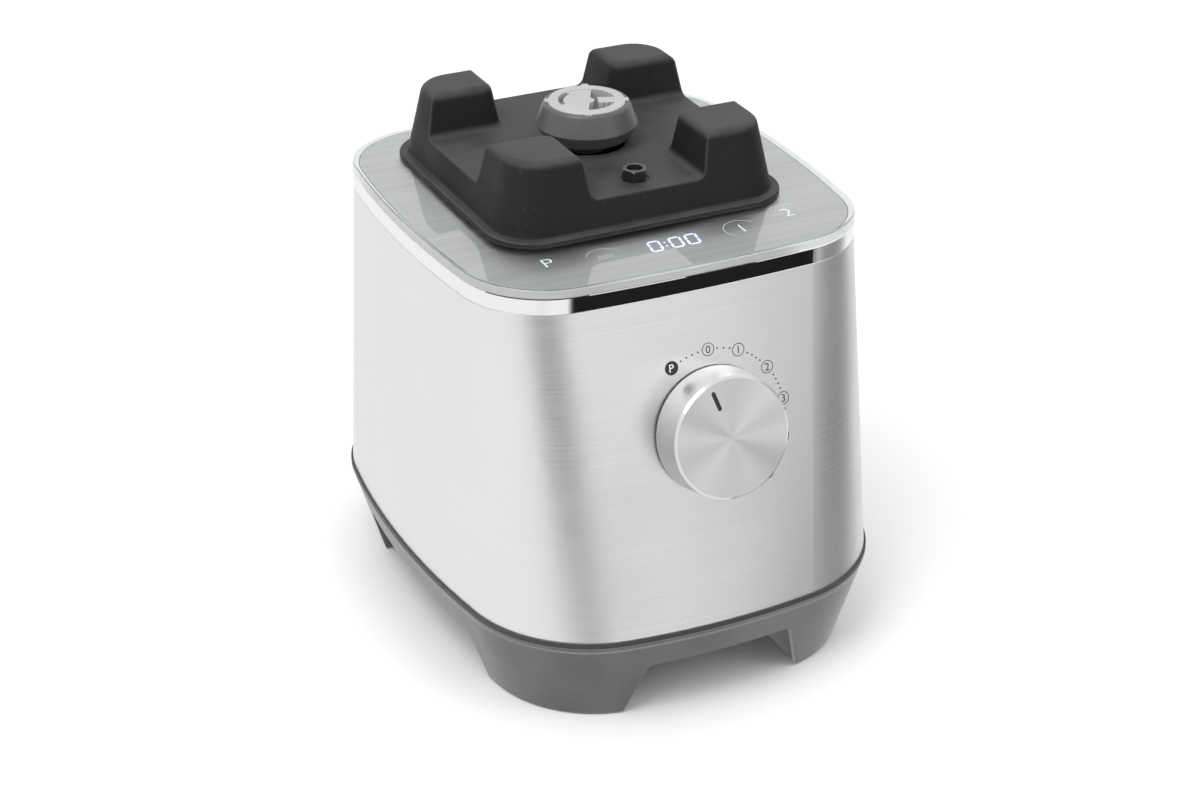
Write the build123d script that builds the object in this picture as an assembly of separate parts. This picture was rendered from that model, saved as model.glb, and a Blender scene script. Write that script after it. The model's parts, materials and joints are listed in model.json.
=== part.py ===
from build123d import *
from collections import namedtuple
from math import atan2, cos, hypot, radians, sin, sqrt
import os

# Motor base of a countertop blender: a tapered stainless shell on a four-footed skirt, a glass
# deck with a rubber jar pad and a claw coupling, a speed knob, a jar interlock, and the
# universal motor and boards inside.
#
# Millimetres. +Z is up, the knob faces -Y and +X is on its right. The origin lies on the
# standing plane, under the middle of the base.

Plan = namedtuple("Plan", "half_x half_y bow_x bow_y corner centre_y")

# ---------------------------------------------------------------- overall sizes
TOP_PLAN = Plan(100.0, 102.0, 9.4, 5.7, 42.0, 4.9)        # glass, chrome band and shell top
WAIST_PLAN = Plan(106.0, 130.0, 18.2, 17.6, 62.6, 1.0)    # shell bottom
FLOOR_PLAN = Plan(93.6, 120.0, 16.0, 15.0, 53.8, 1.0)     # feet, at the standing plane

SKIRT_Z = 1.0             # bottom edge of the skirt, above the rubber feet
SKIRT_TOP = 43.4
GASKET_H = 2.2
SHELL_H = 151.9
BAND_H = 7.4
GLASS_T = 4.9
SHELL_Z = SKIRT_TOP + GASKET_H
BAND_Z = SHELL_Z + SHELL_H
GLASS_Z = BAND_Z + BAND_H
DECK_TOP = GLASS_Z + GLASS_T

DRIVE_Y = 17.7            # the drive axis stands this far behind the origin

# ---------------------------------------------------------------- walls and gaps
SHELL_T = 0.8
SKIRT_T = 2.6
GROOVE_DROP = 3.0         # line pressed into the skirt below the gasket
GROOVE_H = 0.9
GROOVE_D = 0.7
SKIRT_LIP = 0.9           # skirt and gasket stand proud of the shell by this much
BAND_T = 3.0
WALL_GAP = 0.3            # between neighbouring mouldings
RUN_GAP = 0.04            # radial, a turning or sliding pin in its bore
SEAT_GAP = 0.02           # radial, a pin fixed in its bore

# ---------------------------------------------------------------- skirt, pan and feet
NOTCH_H = 28.5            # height of the openings between the feet
FRONT_NOTCH_TOP = 36.5    # half widths of the front and back openings
FRONT_NOTCH_FLOOR = 45.5
SIDE_NOTCH_TOP = 60.0     # half widths of the side openings
SIDE_NOTCH_FLOOR = 65.0
NOTCH_CORNER = 5.0
LEDGE_W = 9.0
PAN_T = 2.5
PAN_Z = 31.0
PAN_WALL = 2.5
PAN_TOP = PAN_Z + PAN_T
WELL_Z = 1.8
FOOT_R = 10.0
FOOT_STEM_R = 3.0
FOOT_HEAD = 2.0           # the pad's stem stands this far into its well
FOOT_X = FLOOR_PLAN.half_x - 27.6
FOOT_Y = FLOOR_PLAN.half_y - 31.0
PAN_SCREW_HEAD_R = 3.2
PAN_SCREW_HEAD_H = 1.8
SCREW_SLOT_W = 0.8
PAN_SCREW_R = 1.7
PAN_SCREW_MARGIN = 12.0   # inside the skirt's outer face
PAN_SCREW_X = 25.0        # half spacing of the front and back pairs
PAN_SCREW_Y = 20.0        # half spacing of the side pairs
VENT_W = 3.0
VENT_PITCH = 7.0
VENT_COUNT = 9

# ---------------------------------------------------------------- mains inlet
GLAND_R = 6.0
GLAND_BORE = 3.7
GLAND_Z = SHELL_Z + 18.4
GLAND_COLLAR_R = 8.5
GLAND_COLLAR_H = 4.0
GLAND_L = 18.0

# ---------------------------------------------------------------- deck
DECK_T = 3.0
OVERLAY_T = 0.6
OVERLAY_Z = GLASS_Z - OVERLAY_T
DECK_Z = OVERLAY_Z - DECK_T
DECK_RIM_T = 2.5
DECK_RIM_DEPTH = 11.0
DECK_HOLE_R = 34.0        # through glass, overlay and deck, for the pad's plug
SEAL_SEAT_R = 24.0
GLASS_EDGE = 1.3
TIE_R = 2.5
TIE_X = 78.0
TIE_Y = 50.0              # half spacing, about the base's middle
TIE_HEAD_R = 4.5
TIE_HEAD_H = 2.0
TIE_BOSS_H = 8.0

# ---------------------------------------------------------------- touch panel
BOARD_T = 1.6
TOUCH_MARGIN = 23.3       # from the glass's front edge to the middle of the row of keys
TOUCH_ROW_R = 290.0       # the row bends back along this radius
TOUCH_X = (-59.5, -34.0, 34.0, 59.5)
KEY_R = 7.0
TOUCH_BOARD_X = 70.0
TOUCH_BOARD_Y = 28.0
TOUCH_WINDOW_EDGE = 3.0
DISPLAY_X = 19.0
DISPLAY_Y = 7.0

# ---------------------------------------------------------------- jar pad
PAD_X = 73.0              # half sizes of the lip
PAD_Y = 71.0
PAD_CORNER = 23.0
PAD_LIP_T = 2.4
PAD_LIP_W = 3.4
PLATEAU_H = 15.7          # jar seat above the glass
POST_H = 20.0             # posts above the jar seat
PAD_DRAFT = 0.19          # sideways run of the pad's walls per unit of height
PAD_TOP_CORNER = 17.0
CHANNEL_HALF = 28.0       # half width of the space between posts, at the jar seat
CHANNEL_DRAFT = 0.16
CHANNEL_BACK = 3.0        # the front posts are longer than the back ones by twice this
POST_INNER_FILLET = 7.0
POST_TOP_FILLET = 4.5
PAD_HOLE_R = 18.0
SEAT_FILLET = 4.0         # where the posts stand on the jar seat
PAD_HOLE_EDGE = 1.2
PLATEAU_Z = DECK_TOP + PLATEAU_H
POST_TOP = PLATEAU_Z + POST_H

# ---------------------------------------------------------------- drive coupling
COLLAR_FOOT_R = 20.4
COLLAR_WIDE_R = 23.9
COLLAR_NECK_R = 19.4
COLLAR_HUB_R = 9.0
COLLAR_BOTTOM = PLATEAU_Z + 3.3
COLLAR_WIDE_Z = COLLAR_BOTTOM + 6.0
COLLAR_TOP = COLLAR_WIDE_Z + 10.1
COLLAR_HUB_Z = PLATEAU_Z - 3.5
COLLAR_SHOULDER = 1.0
SOCKET_R = 18.0
SOCKET_RIM = 0.7          # socket above the collar
SOCKET_DEPTH = 9.1
SOCKET_TOP = COLLAR_TOP + SOCKET_RIM
SOCKET_FLOOR = SOCKET_TOP - SOCKET_DEPTH
SOCKET_Z = SOCKET_FLOOR - 2.5
CAVITY_R = 13.3
TAB_W = 3.2
TAB_TURN = -23.0
SHAFT_TOP = SOCKET_FLOOR + 2.5
CHEEK_ANGLE = 152.0       # the cheek's flat faces away from this direction
CHEEK_REACH = -1.5
NOSE_ANGLE = 78.0
NOSE_R = 3.6
DOG_ANGLE = -20.0
DOG_REACH = 5.3
DOG_HALF = 3.0
RIB_R = 0.8
RIB_PITCH = 2.4
KEY_ANGLE = -92.0
KEY_REACH = 10.0
KEY_HALF = 2.6
POCKET_FROM = 110.0
POCKET_TO = 182.0
POCKET_W = 2.6
POCKET_DEPTH = 4.0

# ---------------------------------------------------------------- jar interlock
NUT_Y = DRIVE_Y - 50.0
NUT_FLATS = 10.6
NUT_H = 5.0
NUT_HOLE_R = 3.7
NUT_POCKET_R = 6.5        # the nut's seat in the pad
NUT_POCKET_H = 0.4
BUSH_R = 4.6
BUSH_BORE = 2.9
BUSH_Z = DECK_Z - 5.3
PLUNGER_R = BUSH_BORE - RUN_GAP
PLUNGER_RECESS = 1.6
PLUNGER_TRAVEL = 3.0
FLANGE_R = 5.0
FLANGE_T = 1.5
SPRING_R = 4.2
SPRING_WIRE = 0.45
SPRING_TURNS = 6
SPRING_H = 12.0
SWITCH_X = 20.0
SWITCH_Y = 7.0
SWITCH_H = 14.0
SWITCH_BUTTON_R = 1.8
SWITCH_BUTTON_H = 3.4     # how far the button stands out
SWITCH_BUTTON_L = 8.0
SWITCH_GAP = 0.2          # plunger above the button, at rest
SWITCH_PINS = (-7.0, 0.0, 7.0)
SWITCH_PIN_L = 5.0
BRACKET_T = 1.2
BRACKET_TAB = 8.0

# ---------------------------------------------------------------- speed knob
KNOB_X = 1.5
KNOB_Z = SHELL_Z + 89.1
KNOB_BASE_R = 29.2
KNOB_FACE_R = 28.1
KNOB_LIFT = 0.9           # knob's rim above the shell
KNOB_H = 16.6
KNOB_EDGE = 1.0
KNOB_WALL = 1.6
RING_R = 28.4
RING_HOLE_R = 12.0
RING_H = 0.6
POINTER_ANGLE = 19.5      # turned towards the pulse mark
POINTER_IN = 14.5
POINTER_OUT = 24.2
POINTER_W = 2.0
POINTER_T = 0.8
SELECTOR_SHAFT_R = 3.0
SELECTOR_BUSH_R = 4.7
SELECTOR_HALF = 15.0
SELECTOR_DEPTH = 14.0
SELECTOR_NUT_FLATS = 13.0
SELECTOR_NUT_H = 2.4

# ---------------------------------------------------------------- motor
SHAFT_R = 4.0
STATOR_R = 46.0
STATOR_YOKE_R = 36.0
STATOR_BORE_R = 25.5
STATOR_H = 48.0
SHOE_T = 4.0
POLE_NECK = 15.0
POLE_SPAN = 60.0          # half angle of a pole shoe
COIL_SPAN = 74.0
COIL_END = 9.0
AIR_GAP = 0.8
ROTOR_R = STATOR_BORE_R - AIR_GAP
ROTOR_SLOTS = 12
SLOT_W = 3.2
SLOT_DEPTH = 9.0
WINDING_END = 8.0
WINDING_R = 21.0
COMMUTATOR_R = 13.0
COMMUTATOR_H = 17.0
COMMUTATOR_BARS = 24
COMMUTATOR_LIP = 1.5
BEARING_R = 11.0
BEARING_H = 7.0
BEARING_CUP_R = 15.0
BRACKET_RING_IN = 36.4
BRACKET_PLATE = 4.0
EAR_REACH = 54.0
EAR_W = 16.0
EAR_ANGLES = [45, 135, 225, 315]
DAMPER_R = 8.0
DAMPER_H = 11.0
POST_R = 6.5
MOTOR_SCREW_R = 2.0
BOLT_RADIUS = 41.2
BOLT_ANGLES = [25, 155, 205, 335]
BOLT_R = 2.0
BOLT_HEAD = 7.0           # across flats
BOLT_HEAD_H = 3.0
FAN_R = 41.0
FAN_H = 12.0
FAN_BLADES = 11
FAN_SWEEP = 28.0
SHROUD_R = 47.0
SHROUD_T = 2.0
BRUSH_W = 5.8
BRUSH_H = 7.8
BRUSH_WALL = 1.0
BRUSH_L = 18.0
HOLDER_IN = 15.5
HOLDER_OUT = 52.0
HOLDER_END = 1.5
BRUSH_SPRING_R = 2.2
BRUSH_SPRING_WIRE = 0.35
BRUSH_SPRING_TURNS = 7

# the motor's levels, stacked up from the pan
FAN_Z = PAN_TOP + 12.5
SHAFT_BOTTOM = FAN_Z - 2.0
LOWER_BEARING_Z = FAN_Z + FAN_H + 5.0
LOWER_PLATE_Z = LOWER_BEARING_Z + BEARING_H + 1.0
COMMUTATOR_Z = LOWER_PLATE_Z + BRACKET_PLATE + 3.0
BRUSH_Z = COMMUTATOR_Z + COMMUTATOR_H / 2
STATOR_Z = COMMUTATOR_Z + COMMUTATOR_H + WINDING_END + 1.0
STATOR_TOP = STATOR_Z + STATOR_H
UPPER_PLATE_Z = STATOR_TOP + COIL_END + 3.0
UPPER_BEARING_Z = UPPER_PLATE_Z + BRACKET_PLATE

# ---------------------------------------------------------------- control electronics
CARRIER_Y = DRIVE_Y - 76.0
CARRIER_T = 2.5
CARRIER_HALF = 56.0
CARRIER_H = 92.0
STANDOFF_R = 3.0
STANDOFF_H = 6.0
STANDOFF_EDGE = 5.0
BOARD_HALF = 52.0
BOARD_H = 80.0
BOARD_Z = PAN_TOP + 10.0
BOARD_SCREW_R = 1.25
CAN_R = 5.0
CAN_L = 16.0
CAN_PLACES = ((-34.0, 22.0), (-20.0, 22.0))
FILM_CAP = (-44.0, -20.0, 42.0, 54.0, 12.0)     # low x, high x, low z, high z on the board, depth
CHOKE_AT = (8.0, 24.0)
CHOKE_R = 7.5
CHOKE_WIRE = 4.0
SINK = (22.0, 48.0, 40.0, 70.0, 20.0)
SINK_FINS = 6
FIN_T = 1.5
TERMINAL = (24.0, 48.0, 8.0, 20.0, 10.0)
TERMINAL_POLES = 3


# ================================================================ helpers
def block(x0, x1, y0, y1, z0, z1):
    centre = ((x0 + x1) / 2, (y0 + y1) / 2, (z0 + z1) / 2)
    return Pos(*centre) * Box(x1 - x0, y1 - y0, z1 - z0)


def rod(radius, z0, z1, x=0.0, y=0.0):
    return Pos(x, y, (z0 + z1) / 2) * Cylinder(radius, z1 - z0)


def tube(outer, inner, z0, z1, x=0.0, y=0.0):
    return rod(outer, z0, z1, x, y) - rod(inner, z0 - 1, z1 + 1, x, y)


def hexagon(flats, z0, z1, x=0.0, y=0.0):
    return Pos(x, y, z0) * extrude(RegularPolygon(flats / 2, 6, major_radius=False), z1 - z0)


def up_from(z, kind, *sizes):
    """A cylinder, cone or box of the given sizes standing on height z."""
    return Pos(0, 0, z) * kind(*sizes, align=(Align.CENTER, Align.CENTER, Align.MIN))


def on_drive(shape):
    return Pos(0, DRIVE_Y, 0) * shape


def polar(radius, angle):
    return radius * cos(radians(angle)), radius * sin(radians(angle))


def blend(a, b, t):
    return Plan(*[p + (q - p) * t for p, q in zip(a, b)])


def grown(plan, by):
    return plan._replace(half_x=plan.half_x + by, half_y=plan.half_y + by, corner=plan.corner + by)


def body_plan(z):
    return blend(WAIST_PLAN, TOP_PLAN, min(z - SHELL_Z, SHELL_H) / SHELL_H)


def skirt_plan(z):
    return blend(FLOOR_PLAN, grown(WAIST_PLAN, SKIRT_LIP), z / SKIRT_TOP)


def outline(plan, z, inset=0.0):
    """Closed wire of eight arcs: four bowed sides joined by four tangent corners."""
    side_r = (plan.half_y**2 + plan.bow_x**2) / (2 * plan.bow_x) - inset
    front_r = (plan.half_x**2 + plan.bow_y**2) / (2 * plan.bow_y) - inset
    half_x, half_y, corner = plan.half_x - inset, plan.half_y - inset, plan.corner - inset
    side_c = Vector(half_x - side_r, 0)
    front_c = Vector(0, half_y - front_r)
    corner_c = corner_centre(side_c, side_r - corner, front_c, front_r - corner)
    a = side_c + (corner_c - side_c).normalized() * side_r
    b = front_c + (corner_c - front_c).normalized() * front_r
    m = corner_c + ((a + b) * 0.5 - corner_c).normalized() * corner
    arcs = []
    for sx, sy in ((1, 1), (-1, 1), (-1, -1), (1, -1)):
        ends = [a, m, b] if sx * sy > 0 else [b, m, a]
        arcs.append(ThreePointArc(*[(p.X * sx, p.Y * sy) for p in ends]))
        if sx * sy > 0:
            middle = (0, half_y * sy)
            finish = (-b.X * sx, b.Y * sy)
        else:
            middle = (half_x * sx, 0)
            finish = (a.X * sx, -a.Y * sy)
        start = ends[-1]
        arcs.append(ThreePointArc((start.X * sx, start.Y * sy), middle, finish))
    return Pos(0, plan.centre_y, z) * Wire(arcs)


def corner_centre(c1, r1, c2, r2):
    """The outer crossing of two circles."""
    gap = (c2 - c1).length
    along = (r1 * r1 - r2 * r2 + gap * gap) / (2 * gap)
    across = sqrt(r1 * r1 - along * along)
    unit = (c2 - c1).normalized()
    foot = c1 + unit * along
    side = Vector(-unit.Y, unit.X) * across
    return max((foot + side, foot - side), key=lambda p: p.X + p.Y)


def tapered(plan_at, z0, z1, inset=0.0):
    wires = [outline(plan_at(z), z, inset) for z in (z0, z1)]
    return Solid.make_loft(wires, ruled=True)


def straight(plan, z0, z1, inset=0.0):
    return extrude(Face(outline(plan, z0, inset)), z1 - z0, dir=(0, 0, 1))


# ================================================================ walls that carry a fitting
def wall_point(z):
    """Front wall's outer surface on the vertical line through x = 0."""
    plan = body_plan(z)
    return plan.centre_y - plan.half_y


def back_point(z):
    """Back wall's outer surface on the same line."""
    plan = body_plan(z)
    return plan.centre_y + plan.half_y


WALL_TILT = atan2(wall_point(BAND_Z) - wall_point(SHELL_Z), SHELL_H)
KNOB_PLANE = Plane(
    origin=(KNOB_X, wall_point(KNOB_Z), KNOB_Z),
    x_dir=(1, 0, 0),
    z_dir=(0, -cos(WALL_TILT), sin(WALL_TILT)),
)


def on_knob(shape):
    return KNOB_PLANE * shape


BACK_TILT = atan2(back_point(SHELL_Z) - back_point(BAND_Z), SHELL_H)
BACK_PLANE = Plane(
    origin=(0, back_point(GLAND_Z), GLAND_Z),
    x_dir=(-1, 0, 0),
    z_dir=(0, cos(BACK_TILT), sin(BACK_TILT)),
)


def on_back(shape):
    return BACK_PLANE * shape


# ================================================================ housing
def make_shell():
    """Drawn stainless wall with a narrow flange folded in at its foot."""
    wall = tapered(body_plan, SHELL_Z, BAND_Z) - tapered(body_plan, SHELL_Z, BAND_Z, SHELL_T)
    flange = straight(WAIST_PLAN, SHELL_Z, SHELL_Z + SHELL_T, SHELL_T)
    flange -= straight(WAIST_PLAN, SHELL_Z - 1, SHELL_Z + 2 * SHELL_T, LEDGE_W)
    knob_hole = on_knob(Cylinder(SELECTOR_BUSH_R + WALL_GAP, 20))
    gland_hole = on_back(Cylinder(GLAND_R, 20))
    return wall + flange - knob_hole - gland_hole


def make_gasket():
    """Black ring between shell and skirt."""
    ring = straight(grown(WAIST_PLAN, SKIRT_LIP), SKIRT_TOP, SHELL_Z)
    return ring - straight(WAIST_PLAN, SKIRT_TOP - 1, SHELL_Z + 1, LEDGE_W)


def make_chrome_band():
    outer = straight(TOP_PLAN, BAND_Z, GLASS_Z)
    outer = chamfer(outer.faces().sort_by(Axis.Z)[0].outer_wire().edges(), 0.4)
    return outer - straight(TOP_PLAN, BAND_Z - 1, GLASS_Z + 1, BAND_T)


def notch_prism(half_top, half_floor, height, along):
    """Trapezoid cutter for the openings between the feet, running right through the base."""
    slope = (half_floor - half_top) / NOTCH_H
    low = half_floor + slope * SKIRT_Z
    high = half_floor - slope * height
    profile = Polygon((-low, -SKIRT_Z), (low, -SKIRT_Z), (high, height), (-high, height), align=None)
    profile = fillet(profile.vertices().group_by(Axis.Y)[-1], NOTCH_CORNER)
    plane = Plane.XZ if along == "Y" else Plane.YZ
    offset = (0, 0, 0) if along == "Y" else (0, FLOOR_PLAN.centre_y, 0)
    return Pos(*offset) * (plane * extrude(profile, 2 * WAIST_PLAN.half_y, both=True))


def notches(height):
    front = notch_prism(FRONT_NOTCH_TOP, FRONT_NOTCH_FLOOR, height, "Y")
    return front + notch_prism(SIDE_NOTCH_TOP, SIDE_NOTCH_FLOOR, height, "X")


def make_base_skirt():
    """Four-footed plastic skirt with an inner ledge that the pan is screwed to."""
    body = tapered(skirt_plan, SKIRT_Z, SKIRT_TOP) - tapered(skirt_plan, SKIRT_Z, SKIRT_TOP, SKIRT_T)
    body -= notches(NOTCH_H)
    line = SKIRT_TOP - GROOVE_DROP, SKIRT_TOP - GROOVE_DROP + GROOVE_H
    body -= tapered(skirt_plan, *line) - tapered(skirt_plan, *line, GROOVE_D)
    ledge = straight(skirt_plan(PAN_TOP), PAN_TOP, PAN_TOP + PAN_T, SKIRT_T / 2)
    ledge -= straight(skirt_plan(PAN_TOP), PAN_TOP - 1, SKIRT_TOP, SKIRT_T + LEDGE_W)
    rim = straight(WAIST_PLAN, SKIRT_TOP - PAN_T, SKIRT_TOP, SKIRT_T / 2)
    rim -= straight(WAIST_PLAN, PAN_TOP, SHELL_Z, LEDGE_W)
    for x, y in pan_screw_places():
        ledge -= rod(PAN_SCREW_R, PAN_Z, SKIRT_TOP, x, y)
    return body + ledge + rim


def make_bottom_pan():
    """Black floor plate, with a hollow well that fills each foot."""
    inset = SKIRT_T + WALL_GAP
    outer = tapered(skirt_plan, WELL_Z, PAN_TOP, inset) - notches(PAN_Z)
    hollow = tapered(skirt_plan, WELL_Z + PAN_WALL, PAN_TOP + 1, inset + PAN_WALL)
    wells = [
        block(*x_span, *y_span, 0, PAN_TOP + 2)
        for x_span in well_spans(FRONT_NOTCH_FLOOR, 0)
        for y_span in well_spans(SIDE_NOTCH_FLOOR, FLOOR_PLAN.centre_y)
    ]
    for well in wells:
        outer -= hollow & well
    for x, y in foot_places():
        outer -= rod(FOOT_STEM_R, 0, PAN_TOP, x, y)
    for x, y in pan_screw_places():
        outer -= rod(PAN_SCREW_R + WALL_GAP, 0, PAN_TOP + 1, x, y)
    for x, y in tie_places():
        outer -= rod(TIE_R + SEAT_GAP, 0, PAN_TOP + 1, x, y)
    for i in range(VENT_COUNT):
        y = DRIVE_Y + (i - (VENT_COUNT - 1) / 2) * VENT_PITCH
        half = sqrt(FAN_R**2 - (y - DRIVE_Y) ** 2) - VENT_W
        outer -= block(-half, half, y - VENT_W / 2, y + VENT_W / 2, PAN_Z - 1, PAN_TOP + 1)
    return outer


def well_spans(notch_half, centre):
    """Low and high limits of the feet's wells on one axis, one wall outside the notch."""
    near, far = notch_half + PAN_WALL, 2 * WAIST_PLAN.half_y
    return (centre - far, centre - near), (centre + near, centre + far)


def foot_places():
    return [(sx * FOOT_X, FLOOR_PLAN.centre_y + sy * FOOT_Y) for sx in (-1, 1) for sy in (-1, 1)]


def tie_places():
    return [(sx * TIE_X, FLOOR_PLAN.centre_y + sy * TIE_Y) for sx in (-1, 1) for sy in (-1, 1)]


def pan_screw_places():
    plan = skirt_plan(PAN_TOP)
    far_x, far_y = plan.half_x - PAN_SCREW_MARGIN, plan.half_y - PAN_SCREW_MARGIN
    pairs = [(PAN_SCREW_X, far_y), (far_x, PAN_SCREW_Y)]
    return [(sx * x, plan.centre_y + sy * y) for x, y in pairs for sx in (-1, 1) for sy in (-1, 1)]


def make_foot_pad(x, y):
    pad = rod(FOOT_R, 0, WELL_Z, x, y)
    pad = chamfer(pad.edges().group_by(Axis.Z)[0], 0.6)
    return pad + rod(FOOT_STEM_R - SEAT_GAP, WELL_Z, WELL_Z + PAN_WALL + FOOT_HEAD, x, y)


def make_pan_screws():
    head_r, low, half_slot = PAN_SCREW_HEAD_R, PAN_Z - PAN_SCREW_HEAD_H, SCREW_SLOT_W / 2
    screws = []
    for x, y in pan_screw_places():
        head = rod(head_r, low, PAN_Z, x, y)
        head -= block(x - half_slot, x + half_slot, y - head_r, y + head_r, low - 1, low + SCREW_SLOT_W)
        screws.append(head + rod(PAN_SCREW_R - SEAT_GAP, PAN_Z, PAN_TOP + PAN_T, x, y))
    return Compound(screws)


def make_tie_rods():
    """Four rods that clamp the shell between the pan and the deck."""
    return Compound([
        rod(TIE_HEAD_R, PAN_Z - TIE_HEAD_H, PAN_Z, x, y) + rod(TIE_R, PAN_Z, DECK_Z, x, y)
        for x, y in tie_places()
    ])


def make_inlet_gland():
    """Bush in the back of the shell that the mains lead comes in through."""
    barrel = up_from(-GLAND_L + GLAND_COLLAR_H, Cylinder, GLAND_R - SEAT_GAP, GLAND_L)
    collar = up_from(-1, Cylinder, GLAND_COLLAR_R, GLAND_COLLAR_H + 1)
    collar = fillet(collar.edges().group_by(Axis.Z)[-1], 1.5)
    inner_nut = up_from(-SHELL_T - 4, Cylinder, GLAND_COLLAR_R, 3)
    inner_nut -= Cylinder(GLAND_R - 1, 60)
    collar = on_back(collar) - tapered(body_plan, SHELL_Z, BAND_Z)
    return collar + on_back(barrel + inner_nut) - on_back(Cylinder(GLAND_BORE, 60))


# ================================================================ deck
def make_top_deck():
    """Moulded deck under the glass; the motor, the shell and the touch board hang from it."""
    inset = BAND_T + WALL_GAP
    plate = straight(TOP_PLAN, DECK_Z, OVERLAY_Z, inset)
    rim = straight(TOP_PLAN, BAND_Z - DECK_RIM_DEPTH, DECK_Z, inset)
    rim -= straight(TOP_PLAN, BAND_Z - DECK_RIM_DEPTH - 1, DECK_Z, inset + DECK_RIM_T)
    deck = plate + rim
    for angle in EAR_ANGLES:
        x, y = polar(EAR_REACH, angle)
        deck += on_drive(rod(POST_R, UPPER_PLATE_Z + BRACKET_PLATE + DAMPER_H, DECK_Z, x, y))
        deck -= on_drive(rod(MOTOR_SCREW_R, UPPER_PLATE_Z, DECK_Z - 4, x, y))
    deck -= on_drive(rod(SEAL_SEAT_R, DECK_Z - 1, GLASS_Z))
    deck -= touch_slab(DECK_Z - 1, GLASS_Z, TOUCH_WINDOW_EDGE)
    deck -= rod(BUSH_R + SEAT_GAP, DECK_Z - 1, GLASS_Z, 0, NUT_Y)
    for x, y in tie_places():
        deck += rod(2 * TIE_R, DECK_Z - TIE_BOSS_H, DECK_Z, x, y)
        deck -= rod(TIE_R + SEAT_GAP, DECK_Z - TIE_BOSS_H - 1, DECK_Z, x, y)
    return deck


def deck_openings(z0, z1):
    return on_drive(rod(DECK_HOLE_R, z0, z1)) + rod(BUSH_R + 1.4, z0, z1, 0, NUT_Y)


def make_deck_overlay():
    sheet = straight(TOP_PLAN, OVERLAY_Z, GLASS_Z, BAND_T + WALL_GAP)
    return sheet - deck_openings(OVERLAY_Z - 1, GLASS_Z + 1)


def make_glass_panel():
    glass = straight(TOP_PLAN, GLASS_Z, DECK_TOP)
    glass = fillet(glass.faces().sort_by(Axis.Z)[-1].outer_wire().edges(), GLASS_EDGE)
    glass = chamfer(glass.faces().sort_by(Axis.Z)[0].outer_wire().edges(), 0.5)
    return glass - deck_openings(GLASS_Z - 1, DECK_TOP + 1)


def touch_row(x):
    """How far back the row of keys and the display lie, x to the side of the middle."""
    front = TOP_PLAN.centre_y - TOP_PLAN.half_y
    return front + TOUCH_MARGIN + TOUCH_ROW_R - sqrt(TOUCH_ROW_R**2 - x**2)


def touch_slab(z0, z1, inset):
    x, y = TOUCH_BOARD_X - inset, TOUCH_BOARD_Y / 2 - inset
    middle = (touch_row(0) + touch_row(TOUCH_X[-1])) / 2
    return block(-x, x, middle - y, middle + y, z0, z1)


def make_touch_board():
    under = DECK_Z - BOARD_T
    y = touch_row(0)
    chip = block(-44, -34, y - 3, y + 3, under - 1.5, under)
    plug = block(46, 60, y - 3, y + 3, under - 6, under)
    return touch_slab(under, DECK_Z, 0) + chip + plug


def make_touch_keys():
    """Conductive foam discs that press the touch board's electrodes against the overlay."""
    return Compound([rod(KEY_R, DECK_Z, OVERLAY_Z, x, touch_row(x)) for x in TOUCH_X])


def make_display_module():
    y0, y1 = touch_row(0) - DISPLAY_Y, touch_row(0) + DISPLAY_Y
    frame = block(-DISPLAY_X, DISPLAY_X, y0, y1, DECK_Z, OVERLAY_Z)
    pitch = 2 * DISPLAY_X / 4
    for i in range(4):
        x = -DISPLAY_X + pitch * (i + 0.5)
        frame -= block(x - pitch / 2 + 0.8, x + pitch / 2 - 0.8, y0 + 1.2, y1 - 1.2, OVERLAY_Z - 1.2, GLASS_Z)
    return frame


# ================================================================ jar pad
def pad_section(z):
    run = (z - DECK_TOP) * PAD_DRAFT
    share = (z - DECK_TOP) / (POST_TOP - DECK_TOP)
    corner = PAD_CORNER - PAD_LIP_W + (PAD_TOP_CORNER - PAD_CORNER + PAD_LIP_W) * share
    half_x, half_y = PAD_X - PAD_LIP_W - run, PAD_Y - PAD_LIP_W - run
    return Pos(0, DRIVE_Y, z) * RectangleRounded(2 * half_x, 2 * half_y, corner)


def channel(along):
    """Space between two rows of posts, wider at the top than at the jar seat."""
    over = 6.0
    widen = (POST_H + over) * CHANNEL_DRAFT
    top = POST_TOP + over
    profile = Polygon(
        (-CHANNEL_HALF, PLATEAU_Z), (CHANNEL_HALF, PLATEAU_Z),
        (CHANNEL_HALF + widen, top), (-CHANNEL_HALF - widen, top), align=None,
    )
    if along == "Y":
        return on_drive(Plane.XZ * extrude(profile, 2 * PAD_X, both=True))
    return on_drive(Pos(0, CHANNEL_BACK, 0) * (Plane.YZ * extrude(profile, 2 * PAD_X, both=True)))


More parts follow.
